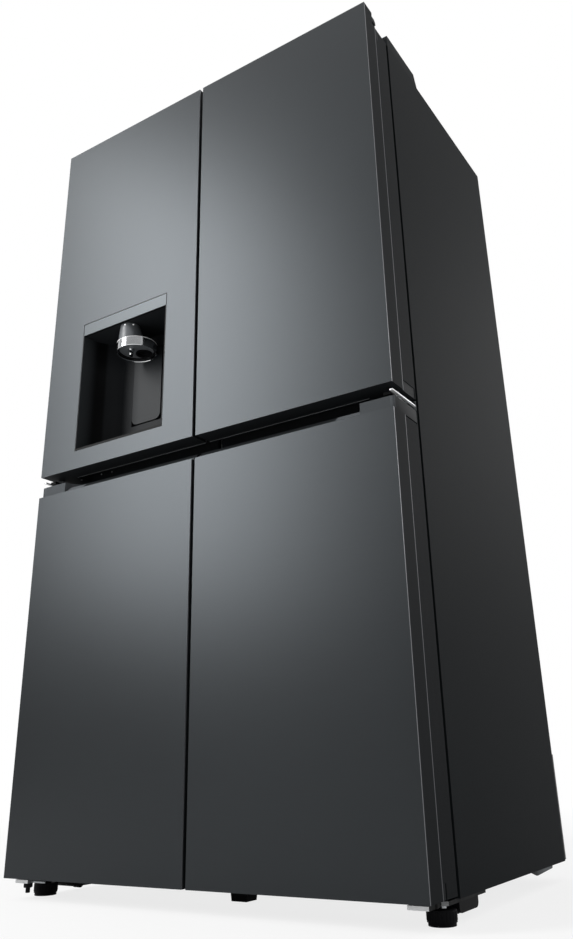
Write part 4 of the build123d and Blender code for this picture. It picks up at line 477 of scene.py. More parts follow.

# %% [markdown]
# ## Door caps and control strip
# The caps are dark plastic, but the face of a lower door's cap carries on the door's steel.  The
# end walls of its grip are painted a flat lighter grey: part the steel they carry, part painted
# light for the light they catch.  The control strip is the same steel with a dark line round its edge.

# %% Door caps
cap_plastic = moulded("door_caps", "1a1c1e", "202224", 0.50, 0.00010, 0.06)
cap_steel = brushed(cap_plastic, *DOOR_TONES)[0]
skin_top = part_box("lower_left_skin")[1].z
above_skin = cap_plastic.step(cap_plastic.along("Z"), skin_top + 1.2 * MM, skin_top + 1.6 * MM)
below_gap = cap_plastic.step(cap_plastic.along("Z"), skin_top + 30 * MM, skin_top + 31 * MM, 1.0, 0.0)
near_front = cap_plastic.step(cap_plastic.depth(), 11.0 * MM, 11.6 * MM, 1.0, 0.0)
front_face = near_front * cap_plastic.step(cap_plastic.facing("Y"), -0.97, -0.9, 1.0, 0.0)
beside = cap_plastic.step(abs(cap_plastic.along("X")), 326 * MM, 332 * MM)
end_wall = (beside * cap_plastic.step(cap_plastic.depth(), 56 * MM, 58 * MM, 1.0, 0.0)
            * cap_plastic.step(cap_plastic.facing("Y"), -0.2, -0.1, 1.0, 0.0))
band = above_skin * below_gap
clad = band * front_face
# Painted light: the grip's end walls, which catch the light, are painted a lighter grey.
lit_end_wall = band * end_wall * (1 - front_face)
lit_end_tone = cap_plastic.tone(lit_end_wall, cap_plastic.base, paint("5e6164"))
cap_plastic.give("Base Color", cap_plastic.tone(clad, lit_end_tone, cap_steel))
cap_plastic.give("Metallic", clad * 0.94)

control_steel = steel_skin("control_panel_steel", *CONTROL_TONES)
panel_low, panel_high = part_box("control_panel")


def outline(axis, low, high):
    """1 on the thin dark line just inside both ends of the strip along an axis."""
    off_middle = abs(control_steel.along(axis) - (low + high) / 2)
    return control_steel.step(off_middle, (high - low) / 2 - 1.3 * MM, (high - low) / 2 - 0.7 * MM)


seam_line = outline("X", panel_low.x, panel_high.x).most(outline("Z", panel_low.z, panel_high.z))
strip_steel = brushed(control_steel, *CONTROL_TONES)[0]
control_steel.give("Base Color", control_steel.tone(seam_line, strip_steel, paint("0c0d0e")))

# %% [markdown]
# ## Shaded plastics
# Depth and height masks paint the recess's shade: a darker deep corner and a near-black front
# edge, with painted light near the front of its left wall and a painted highlight on its rear
# flare.  They paint the hinge covers' dark seam and a painted highlight on their crown, and the
# zinc of the rear carriers.  Being painted, this light and shade stay the same under any lamp.

# %% Dispenser housing, nozzle, hinge covers and carriers
housing = moulded("dispenser_plastic", "1c1e20", "222426", 0.46, 0.00006, 0.10)
box_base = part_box("dispenser_housing")[0].z
rightward = housing.facing("X")
inward = housing.depth()
side_wall = housing.step(rightward, 0.84, 0.88)
# Painted light and shade on the recess's left wall: lighter near the front, painted shade deeper in, and a
# painted highlight on its rear flare.
front_light = side_wall * housing.step(inward, 4 * MM, 46 * MM, 1.0, 0.0)
deep_shade = side_wall * housing.step(inward, 20 * MM, 44 * MM)
glint = (side_wall * housing.step(inward, 66 * MM, 76 * MM)
         * housing.step(inward, 84 * MM, 90 * MM, 1.0, 0.0))
# Painted shade: the front edge of the recess's floor lip is painted near black.
sill = housing.step(housing.along("Z"), box_base + 5.5 * MM, box_base + 7 * MM, 1.0, 0.0)
shaded_front_edge = sill * housing.step(housing.facing("Y"), -0.9, -0.7, 1.0, 0.0)
shaded = housing.tone(deep_shade, housing.base, paint("08090a"))
lightened = housing.tone(front_light, shaded, paint("343739"))
glinting = housing.tone(glint, lightened, paint("63666a"))
housing.give("Base Color", housing.tone(shaded_front_edge, glinting, paint("040505")))

nozzle_grey = moulded("nozzle_grey", "55585b", "606366", 0.30, 0.00004, 0.4)
disc_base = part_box("nozzle_body")[0].z
under = nozzle_grey.step(nozzle_grey.along("Z"), disc_base + 13 * MM, disc_base + 16 * MM, 1.0, 0.0)
nozzle_grey.give("Base Color", nozzle_grey.tone(under, nozzle_grey.base, paint("5a5d60")))

cover_paint = moulded("hinge_cover_paint", "15181a", "1a1d1f", 0.55, 0.00008, 0.05)
hood_low, hood_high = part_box("hinge_covers")
seam = cover_paint.step(cover_paint.along("Z"), hood_low.z + 1.6 * MM, hood_low.z + 2.4 * MM, 1.0, 0.0)
# Painted highlight: the covers are painted lighter towards the top; the dark line at the foot is the seam.
crown = cover_paint.step(cover_paint.along("Z"), hood_high.z - 9 * MM, hood_high.z - 7 * MM) * 0.6
crown_highlight_tone = cover_paint.tone(crown, cover_paint.base, paint("303335"))
cover_paint.give("Base Color", cover_paint.tone(seam, crown_highlight_tone, paint("040505")))

carrier = moulded("carrier_steel", "101012", "161618", 0.46, 0.00012, 0.08)
rear_part = carrier.step(carrier.depth(), 470 * MM, 560 * MM)
carrier.give("Base Color", carrier.tone(rear_part, carrier.base, paint("6c7073")))
carrier.give("Metallic", rear_part * 0.6)

# %% [markdown]
# ## Clear plastic and glass
# Drawers and bins are see-through with a frosted skin.  Glass is greener where its edge shows.

# %% Clear plastic and shelf glass
clear_plastic = Finish("clear_styrene", Alpha=0.34)
frost = clear_plastic.noise(300.0)
flow = clear_plastic.noise(12.0, stretch=(1, 1, 0.3))
clear_plastic.give("Base Color", clear_plastic.tone(flow, paint("dfe7ea"), paint("eef3f4")))
clear_plastic.give("Roughness", 0.06 + frost * 0.08)

shelf_glass = Finish("toughened_glass")
flatness = abs(shelf_glass.facing("Z"))
edge = shelf_glass.step(flatness, 0.4, 0.8, 1.0, 0.0)
ripple = shelf_glass.noise(4.0)
tint = shelf_glass.tone(ripple, paint("dbe8e4"), paint("e4efec"))
shelf_glass.give("Base Color", shelf_glass.tone(edge, tint, paint("5f8f7f")))
shelf_glass.give("Alpha", 0.24 + edge * 0.6)
shelf_glass.give("Roughness", 0.03 + ripple * 0.03)

# %% [markdown]
# ## Bright and dark metal
# Chrome has a faint haze, enamel shows its runs, and rolled fins have long fine lines.

# %% Chrome, black enamel and aluminium
chrome = Finish("bright_chrome", Metallic=1.0)
haze = chrome.noise(120.0)
chrome.give("Base Color", chrome.tone(haze, paint("d6d8da"), paint("e4e6e8")))
chrome.give("Roughness", 0.10 + haze * 0.06)

black_steel = Finish("black_enamel")
runs = black_steel.noise(30.0, detail=3.0, stretch=(1, 1, 0.4))
black_steel.give("Base Color", black_steel.tone(runs, paint("131415"), paint("1d1e20")))
black_steel.give("Roughness", 0.28 + runs * 0.14)
black_steel.bump(runs, 0.0002, 0.4)

aluminium = Finish("mill_aluminium", Metallic=0.95)
rolling = aluminium.noise(20.0, detail=3.0, stretch=(1, 1, 40))
aluminium.give("Base Color", aluminium.tone(rolling, paint("b4b7ba"), paint("caccce")))
aluminium.give("Roughness", 0.30 + rolling * 0.16)

# %% [markdown]
# ## Finishes onto the CAD nodes
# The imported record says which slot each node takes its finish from, so one table from slot to
# finish dresses all of them.

# %% Dress every node
FINISHES = {
    "door_steel": door_steel, "side_steel": side_steel, "zinc_steel": zinc_steel, "foam": foam,
    "white_liner": white_liner, "dark_plastic": dark_plastic, "black_plastic": black_plastic,
    "clear_plastic": clear_plastic, "shelf_glass": shelf_glass, "grey_plastic": grey_plastic,
    "chrome": chrome, "gasket_rubber": gasket_rubber, "black_steel": black_steel,
    "aluminium_fins": aluminium,
}
OWN_FINISHES = {"control_panel": control_steel, "hinge_plates": hinge_steel,
                "dispenser_housing": housing, "nozzle_body": nozzle_grey,
                "hinge_covers": cover_paint, "roller_carriers": carrier}
for level in ("upper", "lower"):
    for side in ("left", "right"):
        OWN_FINISHES[f"{level}_{side}_liner"] = door_liner
        OWN_FINISHES[f"{level}_{side}_caps"] = cap_plastic
for name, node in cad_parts.items():
    for holder in node.material_slots:
        slot_name = holder.material.name.split(".")[0] if holder.material else ""
        if name in OWN_FINISHES:
            holder.material = OWN_FINISHES[name].material
        elif slot_name in FINISHES:
            holder.material = FINISHES[slot_name].material
        else:
            print("no finish for", name, slot_name)
print("dressed", len(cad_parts), "nodes")

# %% [markdown]
# ## Modelling the small parts
# Every new piece starts as one of a few simple shapes and is shaped by bmesh operators.  A bevelled
# block makes trims and bars; a spun profile makes anything round, such as a lens, a rib or a screw
# head.  A finished piece rides on a CAD body, so it moves with its door or drawer, and it carries
# its finish's material.

# %% Shaping helpers
def at(x, depth, height):
    """A point in metres, from millimetres across, behind the door fronts and up."""
    return Vector((x / 1000, cad_low.y + depth / 1000, height / 1000))


def add_block(mesh, low, high, round_edge, segments=2):
    """A block between two corners, with its edges eased."""
    size = high - low
    stand = Matrix.Translation((low + high) / 2) @ Matrix.Diagonal((*size, 1))
    made = bmesh.ops.create_cube(mesh, size=1.0, matrix=stand)
    edges = list({edge for vert in made["verts"] for edge in vert.link_edges})
    bmesh.ops.bevel(mesh, geom=edges, offset=round_edge, affect="EDGES",
                    segments=segments, profile=0.5, material=-1)


def add_turned(mesh, profile, spot, axis=(0, 0, 1), steps=32):
    """A profile of (radius, height) pairs spun round an axis that starts at a spot."""
    old = set(mesh.verts)
    rim = [mesh.verts.new((radius, 0, height)) for radius, height in profile]
    line = [mesh.edges.new(pair) for pair in zip(rim, rim[1:])]
    bmesh.ops.spin(mesh, geom=rim + line, cent=(0, 0, 0), axis=(0, 0, 1), angle=2 * math.pi,
                   steps=steps, use_merge=True)
    new = [vert for vert in mesh.verts if vert not in old]
    turn = Vector((0, 0, 1)).rotation_difference(Vector(axis)).to_matrix().to_4x4()
    bmesh.ops.transform(mesh, matrix=Matrix.Translation(spot) @ turn, verts=new)
    bmesh.ops.remove_doubles(mesh, verts=new, dist=1e-6)


BACK = Vector((0, 1, 0))


def add_frame(mesh, low, high, bar, round_edge):
    """Four bars round the outline of a box that stands across X and Z."""
    for axis, other in ((0, 2), (2, 0)):
        for far in (False, True):
            start, end = low.copy(), high.copy()
            if far:
                start[axis] = high[axis] - bar
            else:
                end[axis] = low[axis] + bar
            if axis == 2:
                start[other] += bar * 0.9
                end[other] -= bar * 0.9
            add_block(mesh, start, end, round_edge)


def make_piece(mesh, name, body, finish, angle=35):
    """Closes a bmesh into a named piece that rides on a CAD body."""
    bmesh.ops.recalc_face_normals(mesh, faces=mesh.faces)
    shape = bpy.data.meshes.new(name)
    mesh.to_mesh(shape)
    mesh.free()
    shape.polygons.foreach_set("use_smooth", [True] * len(shape.polygons))
    shape.set_sharp_from_angle(angle=math.radians(angle))
    piece = bpy.data.objects.new(name, shape)
    scene.collection.objects.link(piece)
    shape.materials.append(finish.material)
    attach(piece, body)
    print(name, len(shape.polygons), "faces on", body)
    return piece


# %% [markdown]
# ## The drip grille
# Spilled water runs through a slatted grille in the floor of the dispenser's recess.  A frame of
# four bars and a row of bars between them is how the real one is moulded, so the piece is made so.

# %% Drip grille
recess_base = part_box("dispenser_housing")[0].z
nozzle_low, nozzle_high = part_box("nozzle_body")
ring_low, ring_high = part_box("nozzle_chrome")
recess_x = (ring_low.x + ring_high.x) / 2
GRILLE_HALF = 78 * MM
GRILLE_BAR = 5 * MM
GRILLE_RISE = 3.2 * MM
floor_top = recess_base + 5 * MM
grille_front = cad_low.y + 18 * MM
grille_back = cad_low.y + 86 * MM
grille = bmesh.new()
grille_top = floor_top + GRILLE_RISE
for side in (-1, 1):
    near = recess_x + side * GRILLE_HALF
    add_block(grille, Vector((min(near, near - side * GRILLE_BAR), grille_front, floor_top)),
              Vector((max(near, near - side * GRILLE_BAR), grille_back, grille_top)), 1 * MM)
for start in (grille_front, grille_back - GRILLE_BAR):
    add_block(grille, Vector((recess_x - GRILLE_HALF, start, floor_top)),
              Vector((recess_x + GRILLE_HALF, start + GRILLE_BAR, grille_top)), 1 * MM)
SLATS = 17
for slat in range(1, SLATS):
    x = recess_x - GRILLE_HALF + 2 * GRILLE_HALF * slat / SLATS
    add_block(grille, Vector((x - 1.4 * MM, grille_front + 3 * MM, floor_top)),
              Vector((x + 1.4 * MM, grille_back - 3 * MM, grille_top - 0.6 * MM)), 0.6 * MM, 1)
make_piece(grille, "drip_grille", "upper_left_door", black_plastic)

# %% [markdown]
# ## Inside the nozzle
# A dark flap closes the ice chute, and a groove runs round the disc inside the bright ring.  Two
# small lenses high on the neck light the glass.  They are all turned shapes.

# %% Nozzle details
nozzle_y = (ring_low.y + ring_high.y) / 2
CHUTE_CENTRE = Vector((recess_x + 4 * MM, nozzle_y + 21 * MM, nozzle_low.z - 8 * MM))
flap = bmesh.new()
add_turned(flap, [(0, 14 * MM), (11 * MM, 14.5 * MM), (16 * MM, 15.5 * MM), (18.8 * MM, 15.5 * MM),
                  (18.8 * MM, 18 * MM), (0, 18 * MM)], CHUTE_CENTRE)
add_turned(flap, [(16.8 * MM, 5 * MM), (19.6 * MM, 5 * MM), (19.6 * MM, 14 * MM),
                  (16.8 * MM, 14 * MM), (16.8 * MM, 5 * MM)], CHUTE_CENTRE)
make_piece(flap, "chute_flap", "upper_left_door", black_plastic)

ring_base = ring_high.z - 23 * MM
bright_ring = bmesh.new()
add_turned(bright_ring, [(44.6 * MM, 22.6 * MM), (44.6 * MM, 0.9 * MM), (45.4 * MM, 0), (46.1 * MM, 0),
                         (47 * MM, 1.0 * MM), (47 * MM, 21 * MM), (45.4 * MM, 22.6 * MM),
                         (44.6 * MM, 22.6 * MM)],
           Vector((recess_x, nozzle_y, ring_base)), steps=96)
spout_centre = Vector((recess_x - 3 * MM, nozzle_y - 14 * MM, ring_low.z))
add_turned(bright_ring, [(2.6 * MM, 2 * MM), (3.4 * MM, 2 * MM), (5 * MM, 8 * MM), (5 * MM, 15 * MM),
                         (7.2 * MM, 16.5 * MM), (7.2 * MM, 19.8 * MM), (2.6 * MM, 19.8 * MM),
                         (2.6 * MM, 2 * MM)], spout_centre)
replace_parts(make_piece(bright_ring, "nozzle_ring", "upper_left_door", chrome), "nozzle_chrome")

tip = bmesh.new()
add_turned(tip, [(2.4 * MM, 0), (4.0 * MM, 0), (4.4 * MM, 1 * MM), (4.4 * MM, 3.6 * MM),
                 (2.4 * MM, 3.6 * MM), (2.4 * MM, 0)], spout_centre)
make_piece(tip, "spout_tip", "upper_left_door", black_plastic)

groove = bmesh.new()
add_turned(groove, [(40.2 * MM, -3.0 * MM), (43.2 * MM, -3.0 * MM), (43.2 * MM, 0.6 * MM),
                    (40.2 * MM, 0.6 * MM), (40.2 * MM, -3.0 * MM)],
           Vector((recess_x, nozzle_y, nozzle_low.z)), steps=64)
make_piece(groove, "nozzle_groove", "upper_left_door", black_plastic)

# %% [markdown]
# ## Lamps that light the inside
# Thin diffusers sit in the fridge's ceiling, in both side walls and in the ceilings of the two
# freezers.  A diffuser is a long bevelled bar with a raised rim, in milky plastic.  Two tiny ones
# high on the nozzle's neck light the glass below.

# %% Milky lamp covers
lamp_cover = Finish("milky_lamp_cover", Roughness=0.35)
veil = lamp_cover.noise(30.0)
lamp_cover.give("Base Color", lamp_cover.tone(veil, paint("f1f3f4"), paint("fbfbfa")))
lamp_cover.give("Emission Color", lamp_cover.tone(veil, paint("f1f3f4"), paint("fbfbfa")))
lamp_cover.give("Emission Strength", 0.25)

liner_low, liner_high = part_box("fridge_liner")
LINER_SHEET = 2 * MM
lamps = bmesh.new()
ceiling_z = liner_high.z - LINER_SHEET
lamp_y = liner_low.y + 130 * MM
LAMP_HALF = 150 * MM
LAMP_RIM = 8 * MM
add_block(lamps, Vector((-LAMP_HALF, lamp_y, ceiling_z - 6 * MM)),
          Vector((LAMP_HALF, lamp_y + 60 * MM, ceiling_z)), 3 * MM, 3)
add_block(lamps, Vector((-LAMP_HALF - LAMP_RIM, lamp_y - LAMP_RIM, ceiling_z - 2.5 * MM)),
          Vector((LAMP_HALF + LAMP_RIM, lamp_y + 60 * MM + LAMP_RIM, ceiling_z)), 1.2 * MM)
make_piece(lamps, "ceiling_lamp", "cabinet", lamp_cover)

WALL_X = cad_high.x - 56 * MM
side_lamps = bmesh.new()
for side in (-1, 1):
    for thick, inset in ((5, 0), (2, -6)):
        low_x, high_x = sorted((side * WALL_X, side * (WALL_X - thick * MM)))
        add_block(side_lamps, Vector((low_x, lamp_y + (10 + inset) * MM, liner_low.z + (330 + inset) * MM)),
                  Vector((high_x, lamp_y + (34 - inset) * MM, liner_high.z - (190 + inset) * MM)), 0.9 * MM)
make_piece(side_lamps, "side_lamps", "cabinet", lamp_cover)

freezer_low, freezer_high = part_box("freezer_liner")
freezer_lamps = bmesh.new()
for side in (-1, 1):
    middle = side * (-freezer_low.x / 2 - 14 * MM)
    add_block(freezer_lamps, Vector((middle - 45 * MM, lamp_y, freezer_high.z - 7 * MM)),
              Vector((middle + 45 * MM, lamp_y + 34 * MM, freezer_high.z - LINER_SHEET)), 1.6 * MM)
make_piece(freezer_lamps, "freezer_lamps", "cabinet", lamp_cover)

lenses = bmesh.new()
neck_spot = Vector((recess_x - 7.7 * MM, nozzle_y - 16.5 * MM, nozzle_high.z - 4.5 * MM))
for out in (Vector((0.208, -0.978, 0)), Vector((0.854, -0.521, 0))):
    add_turned(lenses, [(0, 1.4 * MM), (1.3 * MM, 1.1 * MM), (2.0 * MM, 0.3 * MM), (2.0 * MM, -1.2 * MM),
                        (0, -1.2 * MM)], neck_spot + out * 24.2 * MM, out, steps=16)
make_piece(lenses, "nozzle_lenses", "upper_left_door", lamp_cover)

# %% [markdown]
# ## Shelf edges and bin rims
# Each glass shelf is held in a plastic frame whose front edge is a rounded satin bar, and each door
# bin has the same bar along its rim.  The bar hides the glass's edge and stiffens the shelf.

# %% Shelf and bin bars
bright_bar = Finish("satin_bright_bar", Metallic=0.85)
drawn = bright_bar.noise(8.0, detail=3.0, stretch=(1, 60, 60))
bright_bar.give("Base Color", bright_bar.tone(drawn, paint("a9adb0"), paint("c3c6c8")))
bright_bar.give("Roughness", 0.28 + drawn * 0.1)


def parts_at_heights(node):
    """Heights of a node's separate solids, lowest first, as (low corner, high corner)."""
    copy = bmesh.new()
    copy.from_mesh(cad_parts[node].data)
    bmesh.ops.remove_doubles(copy, verts=copy.verts, dist=1e-6)
    boxes, left = [], set(copy.verts)
    while left:
        group, front = set(), [left.pop()]
        while front:
            vert = front.pop()
            group.add(vert)
            for edge in vert.link_edges:
                other = edge.other_vert(vert)
                if other in left:
                    left.discard(other)
                    front.append(other)
        spots = [vert.co.copy() for vert in group]
        boxes.append((Vector(min(spot[axis] for spot in spots) for axis in range(3)),
                      Vector(max(spot[axis] for spot in spots) for axis in range(3))))
    copy.free()
    return sorted(boxes, key=lambda pair: (round(pair[0].z, 3), round(pair[0].x, 3)))


shelf_bars = bmesh.new()
for low, high in parts_at_heights("shelf_frames"):
    add_block(shelf_bars, Vector((low.x + 4 * MM, low.y - 3 * MM, low.z + 1.5 * MM)),
              Vector((high.x - 4 * MM, low.y + 0.5 * MM, high.z - 2.5 * MM)), 1.4 * MM, 3)
make_piece(shelf_bars, "shelf_front_bars", "cabinet", bright_bar)

for side in ("left", "right"):
    bin_bars = bmesh.new()
    for low, high in parts_at_heights(f"upper_{side}_bins"):
        add_block(bin_bars, Vector((low.x + 6 * MM, high.y - 0.5 * MM, high.z - 15 * MM)),
                  Vector((high.x - 6 * MM, high.y + 2 * MM, high.z - 2 * MM)), 1.1 * MM, 3)
    make_piece(bin_bars, f"bin_bars_{side}", f"upper_{side}_door", bright_bar)

# %% [markdown]
# ## Drawer trims
# Each crisper has a satin bar along its pull lip and a small slider for its air vent.  Each
# freezer drawer has a rim round its finger slot, so the hand meets no raw edge.

# %% Drawer trims
for side in ("left", "right"):
    low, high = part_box(f"crisper_drawer_{side}")
    trim = bmesh.new()
    add_block(trim, Vector((low.x + 12 * MM, low.y - 1.4 * MM, high.z - 12.5 * MM)),
              Vector((high.x - 12 * MM, low.y + 0.8 * MM, high.z - 1.5 * MM)), 1 * MM, 3)
    make_piece(trim, f"crisper_trim_{side}", f"crisper_{side}", bright_bar)
    slider = bmesh.new()
    middle = (low.x + high.x) / 2
    front = low.y + 8 * MM
    add_frame(slider, Vector((middle - 52 * MM, front - 1.6 * MM, high.z - 42 * MM)),
              Vector((middle + 52 * MM, front + 0.4 * MM, high.z - 24 * MM)), 2.4 * MM, 0.6 * MM)
    add_block(slider, Vector((middle - 50 * MM, front - 0.5 * MM, high.z - 40 * MM)),
              Vector((middle + 50 * MM, front + 0.4 * MM, high.z - 26 * MM)), 0.2 * MM, 1)
    add_block(slider, Vector((middle + 14 * MM, front - 3.6 * MM, high.z - 39 * MM)),
              Vector((middle + 30 * MM, front + 0.2 * MM, high.z - 27 * MM)), 1.1 * MM, 3)
    make_piece(slider, f"crisper_slider_{side}", f"crisper_{side}", grey_plastic)
    for level in ("lower", "upper"):
        low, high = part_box(f"freezer_drawer_{side}_{level}")
        middle = (low.x + high.x) / 2
        rim = bmesh.new()
        add_frame(rim, Vector((middle - 73 * MM, low.y - 1.8 * MM, high.z - 51 * MM)),
                  Vector((middle + 73 * MM, low.y + 0.6 * MM, high.z - 17 * MM)), 3.4 * MM, 0.8 * MM)
        make_piece(rim, f"slot_rim_{side}_{level}", f"freezer_drawer_{side}_{level}",
                   grey_plastic)

# %% [markdown]
# ## Bellows of the door gaskets
# A magnetic gasket closes onto the cabinet with a soft bellows, so two thin beads run round it on
# its flank.  They are slim rounded bars laid in a frame.

# %% Gasket beads
for level in ("lower", "upper"):
    for side in ("left", "right"):
        low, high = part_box(f"{level}_{side}_gasket")
        beads = bmesh.new()
        for start in (1.4, 3.9):
            add_frame(beads, Vector((low.x - 0.9 * MM, low.y + start * MM, low.z - 0.9 * MM)),
                      Vector((high.x + 0.9 * MM, low.y + (start + 1.4) * MM, high.z + 0.9 * MM)),
                      1.8 * MM, 0.6 * MM)
        make_piece(beads, f"gasket_beads_{level}_{side}", f"{level}_{side}_door",
                   gasket_rubber)

# %% [markdown]
# ## Hems, pins and bolts along the door edges
# The skin of each upper door is rolled into a bright hem where the grip groove starts.  Two pins
# fix the groove's moulding, and an adjusting bolt, a tab and hex heads sit at the bottom hinges.

# %% Hems, pins and bolts
bare_hem = Finish("bare_hem", Metallic=0.55)
hem_line = bare_hem.noise(9.0, detail=3.0, stretch=(1, 1, 110))
bare_hem.give("Base Color", bare_hem.tone(hem_line, paint("75787b"), paint("85888b")))
bare_hem.give("Roughness", 0.32 + hem_line * 0.1)
door_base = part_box("upper_left_skin")[0].z / MM
for side, low_x, high_x in (("left", -386, -6), ("right", 6, 386)):
    hem = bmesh.new()
    add_block(hem, at(low_x, 46.4, door_base - 0.5), at(high_x, 48.7, door_base + 1.4), 0.7 * MM, 3)
    make_piece(hem, f"door_hem_{side}", f"upper_{side}_door", bare_hem)

pins = bmesh.new()
for spot, axis in ((at(-353, 90.1, door_base + 13), (0, -1, 0)),
                   (at(-319, 90.1, door_base + 12), (0, -1, 0)),
                   (at(-392, 65.6, door_base), (0, 0, -1))):
    add_turned(pins, [(0, 1.2 * MM), (1.4 * MM, 1.0 * MM), (2.1 * MM, 0.2 * MM), (2.1 * MM, -1 * MM),
                      (0, -1 * MM)], spot, axis, steps=16)
make_piece(pins, "groove_pins", "upper_left_door", bright_bar)

plate_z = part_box("hinge_plates")[0].z / MM
tab = bmesh.new()
add_block(tab, at(-419, 28.6, plate_z + 1), at(-371, 31.6, plate_z + 4.6), 0.8 * MM, 3)
make_piece(tab, "hinge_tab", "cabinet", zinc_steel)
bolt = bmesh.new()
add_turned(bolt, [(0, -17 * MM), (3.6 * MM, -17 * MM), (4.4 * MM, -16 * MM), (4.4 * MM, -8 * MM),
                  (0, -8 * MM)], at(-418, 30, plate_z), steps=24)
add_turned(bolt, [(0, -8 * MM), (7.6 * MM, -8 * MM), (8.6 * MM, -7 * MM), (8.6 * MM, -1 * MM),
                  (8 * MM, 0), (0, 0)], at(-418, 30, plate_z), steps=6)
make_piece(bolt, "adjusting_bolt", "cabinet", black_plastic, angle=25)
heads = bmesh.new()
for x, depth in ((430, 52), (442, 78), (-442, 78)):
    add_turned(heads, [(0, -3.6 * MM), (3.2 * MM, -3.6 * MM), (3.8 * MM, -3.0 * MM), (3.8 * MM, 0.2 * MM),
                       (0, 0.2 * MM)], at(x, depth, plate_z), steps=6)
make_piece(heads, "hinge_bolt_heads", "cabinet", bright_bar, angle=25)

# A pale bead on the top edge of the chrome ring: a painted highlight for the thin bright arc along that
# edge.
ring_glint_bead = bmesh.new()
add_turned(ring_glint_bead, [(46 * MM, 0), (47 * MM, 0.2 * MM), (47 * MM, 1.2 * MM), (46 * MM, 1.6 * MM),
                       (45 * MM, 1.2 * MM), (45 * MM, 0.4 * MM), (46 * MM, 0)],
           Vector((recess_x, nozzle_y, ring_high.z - 1.2 * MM)), steps=96)
ring_glint_finish = moulded("painted_ring_glint", "f0f1f2", "fafafa", 0.3, 0.00002)
make_piece(ring_glint_bead, "nozzle_glint_bead", "upper_left_door", ring_glint_finish)

cap_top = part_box("lower_left_caps")[1].z / MM
# Painted highlight: a near-white strip along the middle hinge's outer side stands for the bright line that
# edge catches.
edge_glint_finish = Finish("painted_edge_glint", Metallic=0.5, Roughness=0.3)
glint_haze = edge_glint_finish.noise(60.0)
edge_glint_finish.give("Base Color", edge_glint_finish.tone(glint_haze, paint("dfe1e3"), paint("f0f1f2")))
for side, sign in (("left", -1), ("right", 1)):
    end = bmesh.new()
    near, far = sorted((sign * 445.5, sign * 454.8))
    add_block(end, at(near, 9.5, cap_top - 25.8), at(far, 102.4, cap_top - 0.2), 0.8 * MM, 3)
    make_piece(end, f"grip_end_{side}", f"lower_{side}_door", cap_plastic)
    edge = bmesh.new()
    near, far = sorted((sign * 446, sign * 453))
    add_block(edge, at(near, 8, cap_top + 9.5), at(far, 108, cap_top + 13), 1.2 * MM, 3)
    make_piece(edge, f"hinge_edge_glint_{side}", "cabinet", edge_glint_finish)

# %% [markdown]
# ## Screws on the back
# Pan-head screws hold the back panel along its top and sides.  One head is a low turned dome that
# sits on the sheet itself; only the two wall spacers stand out further behind.

# %% Pan-head screws
HEAD = 4.2 * MM
EDGE_INSET = 9 * MM


def add_screw(mesh, spot):
    """A low domed head that stands out from the back sheet."""
    add_turned(mesh, [(0, 2.3 * MM), (HEAD * 0.55, 2.1 * MM), (HEAD * 0.9, 1.3 * MM),
                      (HEAD, 0.3 * MM), (HEAD, 0), (0, 0)], spot, BACK, steps=16)


screws = bmesh.new()
sheet_low, sheet_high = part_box("back_panel")
SHEET_THICK = 2 * MM
sheet_face = sheet_low.y + SHEET_THICK
cover_low, cover_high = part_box("compressor_cover")
for column in range(7):
    x = cover_low.x + 22 * MM + (cover_high.x - cover_low.x - 44 * MM) * column / 6
    add_screw(screws, Vector((x, sheet_face, sheet_high.z - EDGE_INSET)))
for row in range(6):
    z = sheet_low.z + 60 * MM + (sheet_high.z - sheet_low.z - 120 * MM) * row / 5
    for x in (sheet_low.x + EDGE_INSET, sheet_high.x - EDGE_INSET):
        add_screw(screws, Vector((x, sheet_face, z)))
make_piece(screws, "panel_screws", "cabinet", zinc_steel)

# %% [markdown]
# ## Louvre hoods, collars and plugs
# A pressed hood over every louvre keeps dust out of the machine bay.  The water inlet and the cable
# gland each have a turned collar, and two low plugs hide the screws of each hinge cover.

# %% Louvre hoods, collars and plugs
hoods = bmesh.new()
LOUVRE_LIFT = 36 * MM
for row in range(6):
    for column in range(5):
        x = -360 * MM + column * 150 * MM
        z = cover_low.z + LOUVRE_LIFT + row * 26 * MM
        add_block(hoods, Vector((x - 2 * MM, cover_high.y - 0.4 * MM, z + 6.2 * MM)),
                  Vector((x + 112 * MM, cover_high.y + 2.8 * MM, z + 10 * MM)), 1.1 * MM, 2)
make_piece(hoods, "louvre_hoods", "cabinet", zinc_steel)

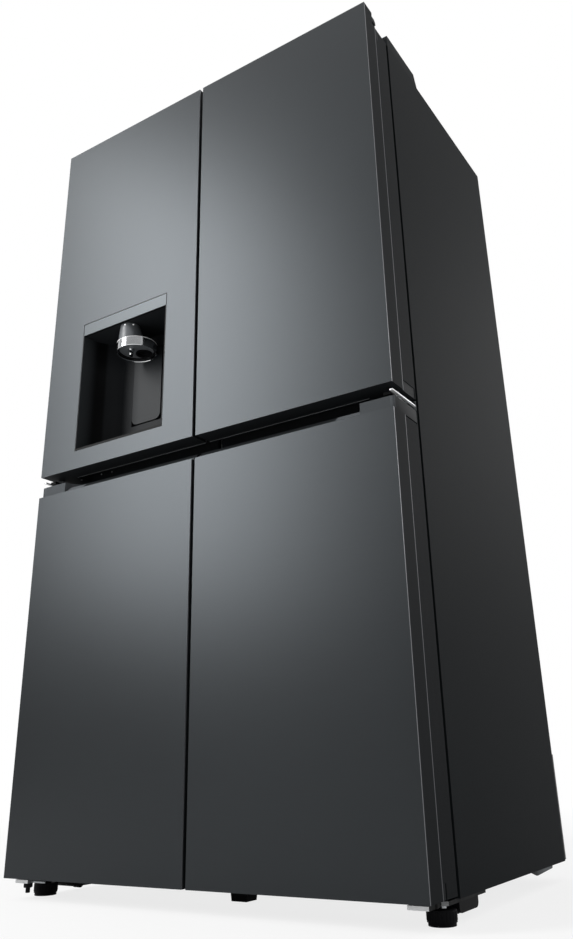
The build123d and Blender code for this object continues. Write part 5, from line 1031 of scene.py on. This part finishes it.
collars = bmesh.new()
inlet_low, inlet_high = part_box("rear_inlets")
for x, z, radius, steps in ((-330, inlet_high.z - 18 * MM, 12, 6), (380, inlet_low.z + 14 * MM, 9.5, 48)):
    spot = Vector((x * MM, inlet_high.y - 4 * MM, z))
    add_turned(collars, [(5.2 * MM, 0), (radius * MM, 0), (radius * MM, 2.6 * MM),
                         ((radius - 1) * MM, 3.6 * MM), (5.2 * MM, 3.6 * MM), (5.2 * MM, 0)],
               spot, (0, 1, 0), steps=steps)
make_piece(collars, "rear_collars", "cabinet", grey_plastic, angle=25)

plugs = bmesh.new()
for side in (-1, 1):
    for depth in (140, 196):
        add_turned(plugs, [(0, 1.5 * MM), (5.2 * MM, 1.4 * MM), (6.2 * MM, 0.6 * MM), (6.2 * MM, -0.6 * MM),
                           (0, -0.6 * MM)], at(side * 392, depth, hood_high.z / MM))
make_piece(plugs, "cover_plugs", "cabinet", black_plastic)

latch = bmesh.new()
ice_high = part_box("ice_box")[1]
add_block(latch, Vector((ice_high.x - 74 * MM, ice_high.y - 0.5 * MM, ice_high.z - 74 * MM)),
          Vector((ice_high.x - 24 * MM, ice_high.y + 5 * MM, ice_high.z - 54 * MM)), 2.2 * MM, 3)
add_turned(latch, [(0, 6.2 * MM), (4 * MM, 6 * MM), (5.2 * MM, 5 * MM), (5.2 * MM, 0), (0, 0)],
           Vector((ice_high.x - 34 * MM, ice_high.y, ice_high.z - 64 * MM)), BACK)
make_piece(latch, "ice_box_latch", "upper_left_door", grey_plastic)

# %% [markdown]
# ## Ribs on the levelling feet
# Each foot is turned by hand, so its pad has a ring of grip ribs.  A rib is a slim upright block,
# copied round the pad.

# %% Foot ribs
RIBS = 24
for side in ("left", "right"):
    low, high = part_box(f"levelling_foot_{side}")
    centre = (low + high) / 2
    radius = (high.x - low.x) / 2
    ribs = bmesh.new()
    for rib in range(RIBS):
        turn = 2 * math.pi * rib / RIBS
        old = set(ribs.verts)
        add_block(ribs, Vector((radius - 0.6 * MM, -1.8 * MM, low.z + 7.5 * MM)),
                  Vector((radius + 0.5 * MM, 1.8 * MM, low.z + 20.5 * MM)), 0.35 * MM, 1)
        new = [vert for vert in ribs.verts if vert not in old]
        spin = Matrix.Translation((centre.x, centre.y, 0)) @ Matrix.Rotation(turn, 4, "Z")
        bmesh.ops.transform(ribs, matrix=spin, verts=new)
    make_piece(ribs, f"foot_ribs_{side}", f"levelling_foot_{side}", black_plastic)
